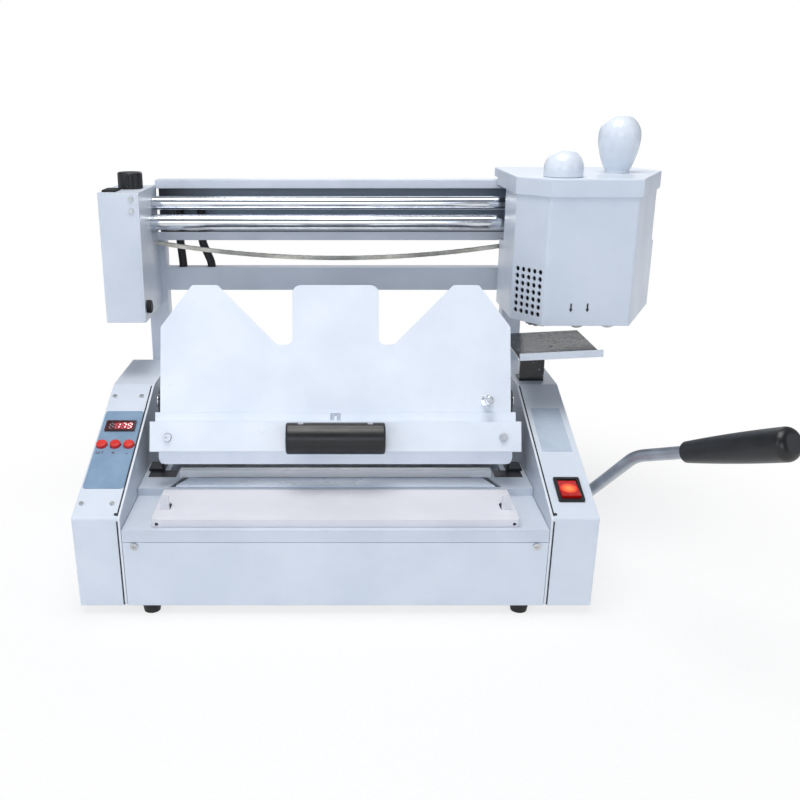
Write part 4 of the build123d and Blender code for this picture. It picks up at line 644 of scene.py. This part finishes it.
# Knee rivets: dark blind rivets at the inner knee corners
RIVET_RADIUS, RIVET_TALL, RIVET_IN, RIVET_ALONG = 1.6 * MM, 0.5 * MM, 2.4 * MM, 5 * MM
for side, name in SIDES:
    bpy.ops.mesh.primitive_cylinder_add(
        vertices=20, radius=RIVET_RADIUS, depth=RIVET_TALL, location=(0, 0, 0),
    )
    rivet = bpy.context.object
    rivet.name = f"{name}_knee_rivet"
    bpy.ops.object.mode_set(mode="EDIT")
    pick_facing(rivet.data)
    bpy.ops.mesh.inset(thickness=0.5 * MM, depth=-0.2 * MM)
    bpy.ops.object.mode_set(mode="OBJECT")
    rivet_x = MIDDLE_X + side * (COVER_INNER + RIVET_IN)
    place = slope_matrix(rivet_x, RIVET_ALONG, 0.2 * MM)
    settle(rivet, place, SEAM_BLACK, "base")

# Two recessed screws in the end block's front, and the black stop bar on the block's top
BLOCK_LOW, BLOCK_HIGH = (Vector(corner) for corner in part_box("left_end_block"))
SCREW_IN, SCREW_DROPS = 6 * MM, (6 * MM, 18 * MM)
SCREW_RADIUS, SCREW_TALL = 2.6 * MM, 1.4 * MM
STOP_WIDTH, STOP_LENGTH, STOP_TALL = 14 * MM, 26 * MM, 2.2 * MM
STOP_IN, STOP_BACK = 10 * MM, 22 * MM
for index, drop in enumerate(SCREW_DROPS):
    bpy.ops.mesh.primitive_cylinder_add(
        vertices=28, radius=SCREW_RADIUS, depth=SCREW_TALL, location=(0, 0, 0),
    )
    screw = bpy.context.object
    screw.name = f"end_block_screw_{index + 1}"
    bpy.ops.object.mode_set(mode="EDIT")
    pick_facing(screw.data)
    bpy.ops.mesh.inset(thickness=0.7 * MM, depth=0.3 * MM)
    bpy.ops.mesh.inset(thickness=0.7 * MM, depth=-0.5 * MM)
    bpy.ops.object.mode_set(mode="OBJECT")
    bpy.ops.object.shade_smooth_by_angle(angle=radians(35))
    place = (BLOCK_HIGH.x - SCREW_IN, BLOCK_LOW.y - SCREW_TALL / 2, BLOCK_HIGH.z - drop)
    upright = Matrix.Rotation(pi / 2, 4, "X")
    settle(screw, Matrix.Translation(place) @ upright, ZINC, "base")
stop_bar = soft_slab("end_block_stop_bar", STOP_WIDTH, STOP_LENGTH, STOP_TALL, 0.6 * MM)
place = (BLOCK_LOW.x + STOP_IN, BLOCK_LOW.y + STOP_BACK, BLOCK_HIGH.z + FILM_GAP)
settle(stop_bar, Matrix.Translation(place), BLACK_RUBBER, "base")


# Floor, light and camera

def emission_floor(name, shade):
    """Matt paper floor that the camera sees as plain white with the object's soft shadow, which
    fades out away from the machine."""
    material, tree, place = start(name)
    fibre = speckle(tree, place, 3 * MM)
    paper = add(tree, "ShaderNodeBsdfPrincipled", {
        "Base Color": tint(tree, fibre, shade, "#FBFBFB"),
        "Roughness": 0.9,
    })
    white = add(tree, "ShaderNodeEmission", {"Color": linear("#FFFFFF"), "Strength": 1.0})
    rays = add(tree, "ShaderNodeLightPath")
    seen = add(
        tree, "ShaderNodeMath",
        {0: rays.outputs["Is Camera Ray"], 1: rays.outputs["Is Glossy Ray"]}, operation="MAXIMUM",
    )
    reach = add(tree, "ShaderNodeVectorMath", {0: place}, operation="LENGTH").outputs["Value"]
    fading = mapped(tree, reach, (0.30, 0.62), (0.72, 1.0), interpolation_type="SMOOTHSTEP")
    share = times(tree, seen.outputs["Value"], fading)
    mixed = add(
        tree, "ShaderNodeMixShader",
        {0: share, 1: paper.outputs[0], 2: white.outputs[0]},
    )
    close(tree, mixed)
    return material


FLOOR_SIZE = 8
bpy.ops.mesh.primitive_plane_add(size=1, location=(0, 0, 0))
floor = bpy.context.object
floor.name = "paper_floor"
bpy.ops.object.mode_set(mode="EDIT")
bpy.ops.transform.resize(value=(FLOOR_SIZE, FLOOR_SIZE, 1))
bpy.ops.mesh.subdivide(number_cuts=3)
bpy.ops.object.mode_set(mode="OBJECT")
floor.data.materials.append(emission_floor("matt_paper", "#F4F4F4"))
bpy.ops.object.select_all(action="DESELECT")

# Sky: plain white to the camera, and a soft bluish light to everything else
world = bpy.data.worlds.new("studio")
bpy.context.scene.world = world
world.use_nodes = True
sky_tree = world.node_tree
sky_tree.nodes.clear()
sky_rays = add(sky_tree, "ShaderNodeLightPath")
sky_seen = add(
    sky_tree, "ShaderNodeMath",
    {0: sky_rays.outputs["Is Camera Ray"], 1: sky_rays.outputs["Is Transmission Ray"]},
    operation="MAXIMUM",
)
soft_sky = add(sky_tree, "ShaderNodeBackground", {"Color": linear("#E9EFF8"), "Strength": 0.38})
white_sky = add(sky_tree, "ShaderNodeBackground", {"Color": linear("#FFFFFF"), "Strength": 1.0})
sky = add(
    sky_tree, "ShaderNodeMixShader",
    {0: sky_seen.outputs["Value"], 1: soft_sky.outputs[0], 2: white_sky.outputs[0]},
)
add(sky_tree, "ShaderNodeOutputWorld", {"Surface": sky.outputs[0]})


def soft_box(name, place, target, width, height, power, colour="#FFFFFF"):
    """Large rectangular studio lamp that faces its target."""
    bpy.ops.object.light_add(type="AREA", location=place)
    lamp = bpy.context.object
    lamp.name = name
    lamp.data.shape = "RECTANGLE"
    lamp.data.size = width
    lamp.data.size_y = height
    lamp.data.energy = power
    lamp.data.color = linear(colour)[:3]
    facing = Vector(target) - Vector(place)
    lamp.rotation_euler = facing.to_track_quat("-Z", "Y").to_euler()


MACHINE = (0, 0, 0.15)
soft_box("overhead_soft_box", (-0.15, -0.2, 1.7), MACHINE, 1.0, 0.9, 17, "#FFFDFA")
soft_box("front_soft_box", (-0.3, -2.3, 0.75), MACHINE, 1.4, 0.8, 9.5, "#EEF4FF")
soft_box("left_soft_box", (-1.7, -1.2, 0.9), MACHINE, 1.0, 1.2, 7, "#EEF4FF")
soft_box("right_soft_box", (1.8, -0.9, 0.8), MACHINE, 0.8, 1.2, 4, "#EEF4FF")
soft_box("rear_soft_box", (0.3, 1.7, 1.2), MACHINE, 1.4, 1.0, 7, "#FFFFFF")

# Camera at the photograph's place: on the body's middle line, which the photograph has at
# PHOTO_CENTRE_X, so the lens is shifted
PHOTO_SIZE = 800
SENSOR_WIDTH = 36
FOCAL_PIXELS = 933
PHOTO_CENTRE_X = 335.5
CAMERA_TILT = radians(17.8)
CAMERA_FORWARD, CAMERA_HEIGHT = 757.2 * MM, 452.7 * MM
bpy.ops.object.camera_add(
    location=(MIDDLE_X, KNEE_Y - CAMERA_FORWARD, CAMERA_HEIGHT),
    rotation=(pi / 2 - CAMERA_TILT, 0, 0),
)
camera = bpy.context.object
camera.data.sensor_width = SENSOR_WIDTH
camera.data.lens = FOCAL_PIXELS / PHOTO_SIZE * SENSOR_WIDTH
camera.data.shift_x = (PHOTO_SIZE / 2 - PHOTO_CENTRE_X) / PHOTO_SIZE
camera.data.clip_start = 0.05
bpy.context.scene.camera = camera
bpy.context.scene.view_settings.view_transform = "Standard"
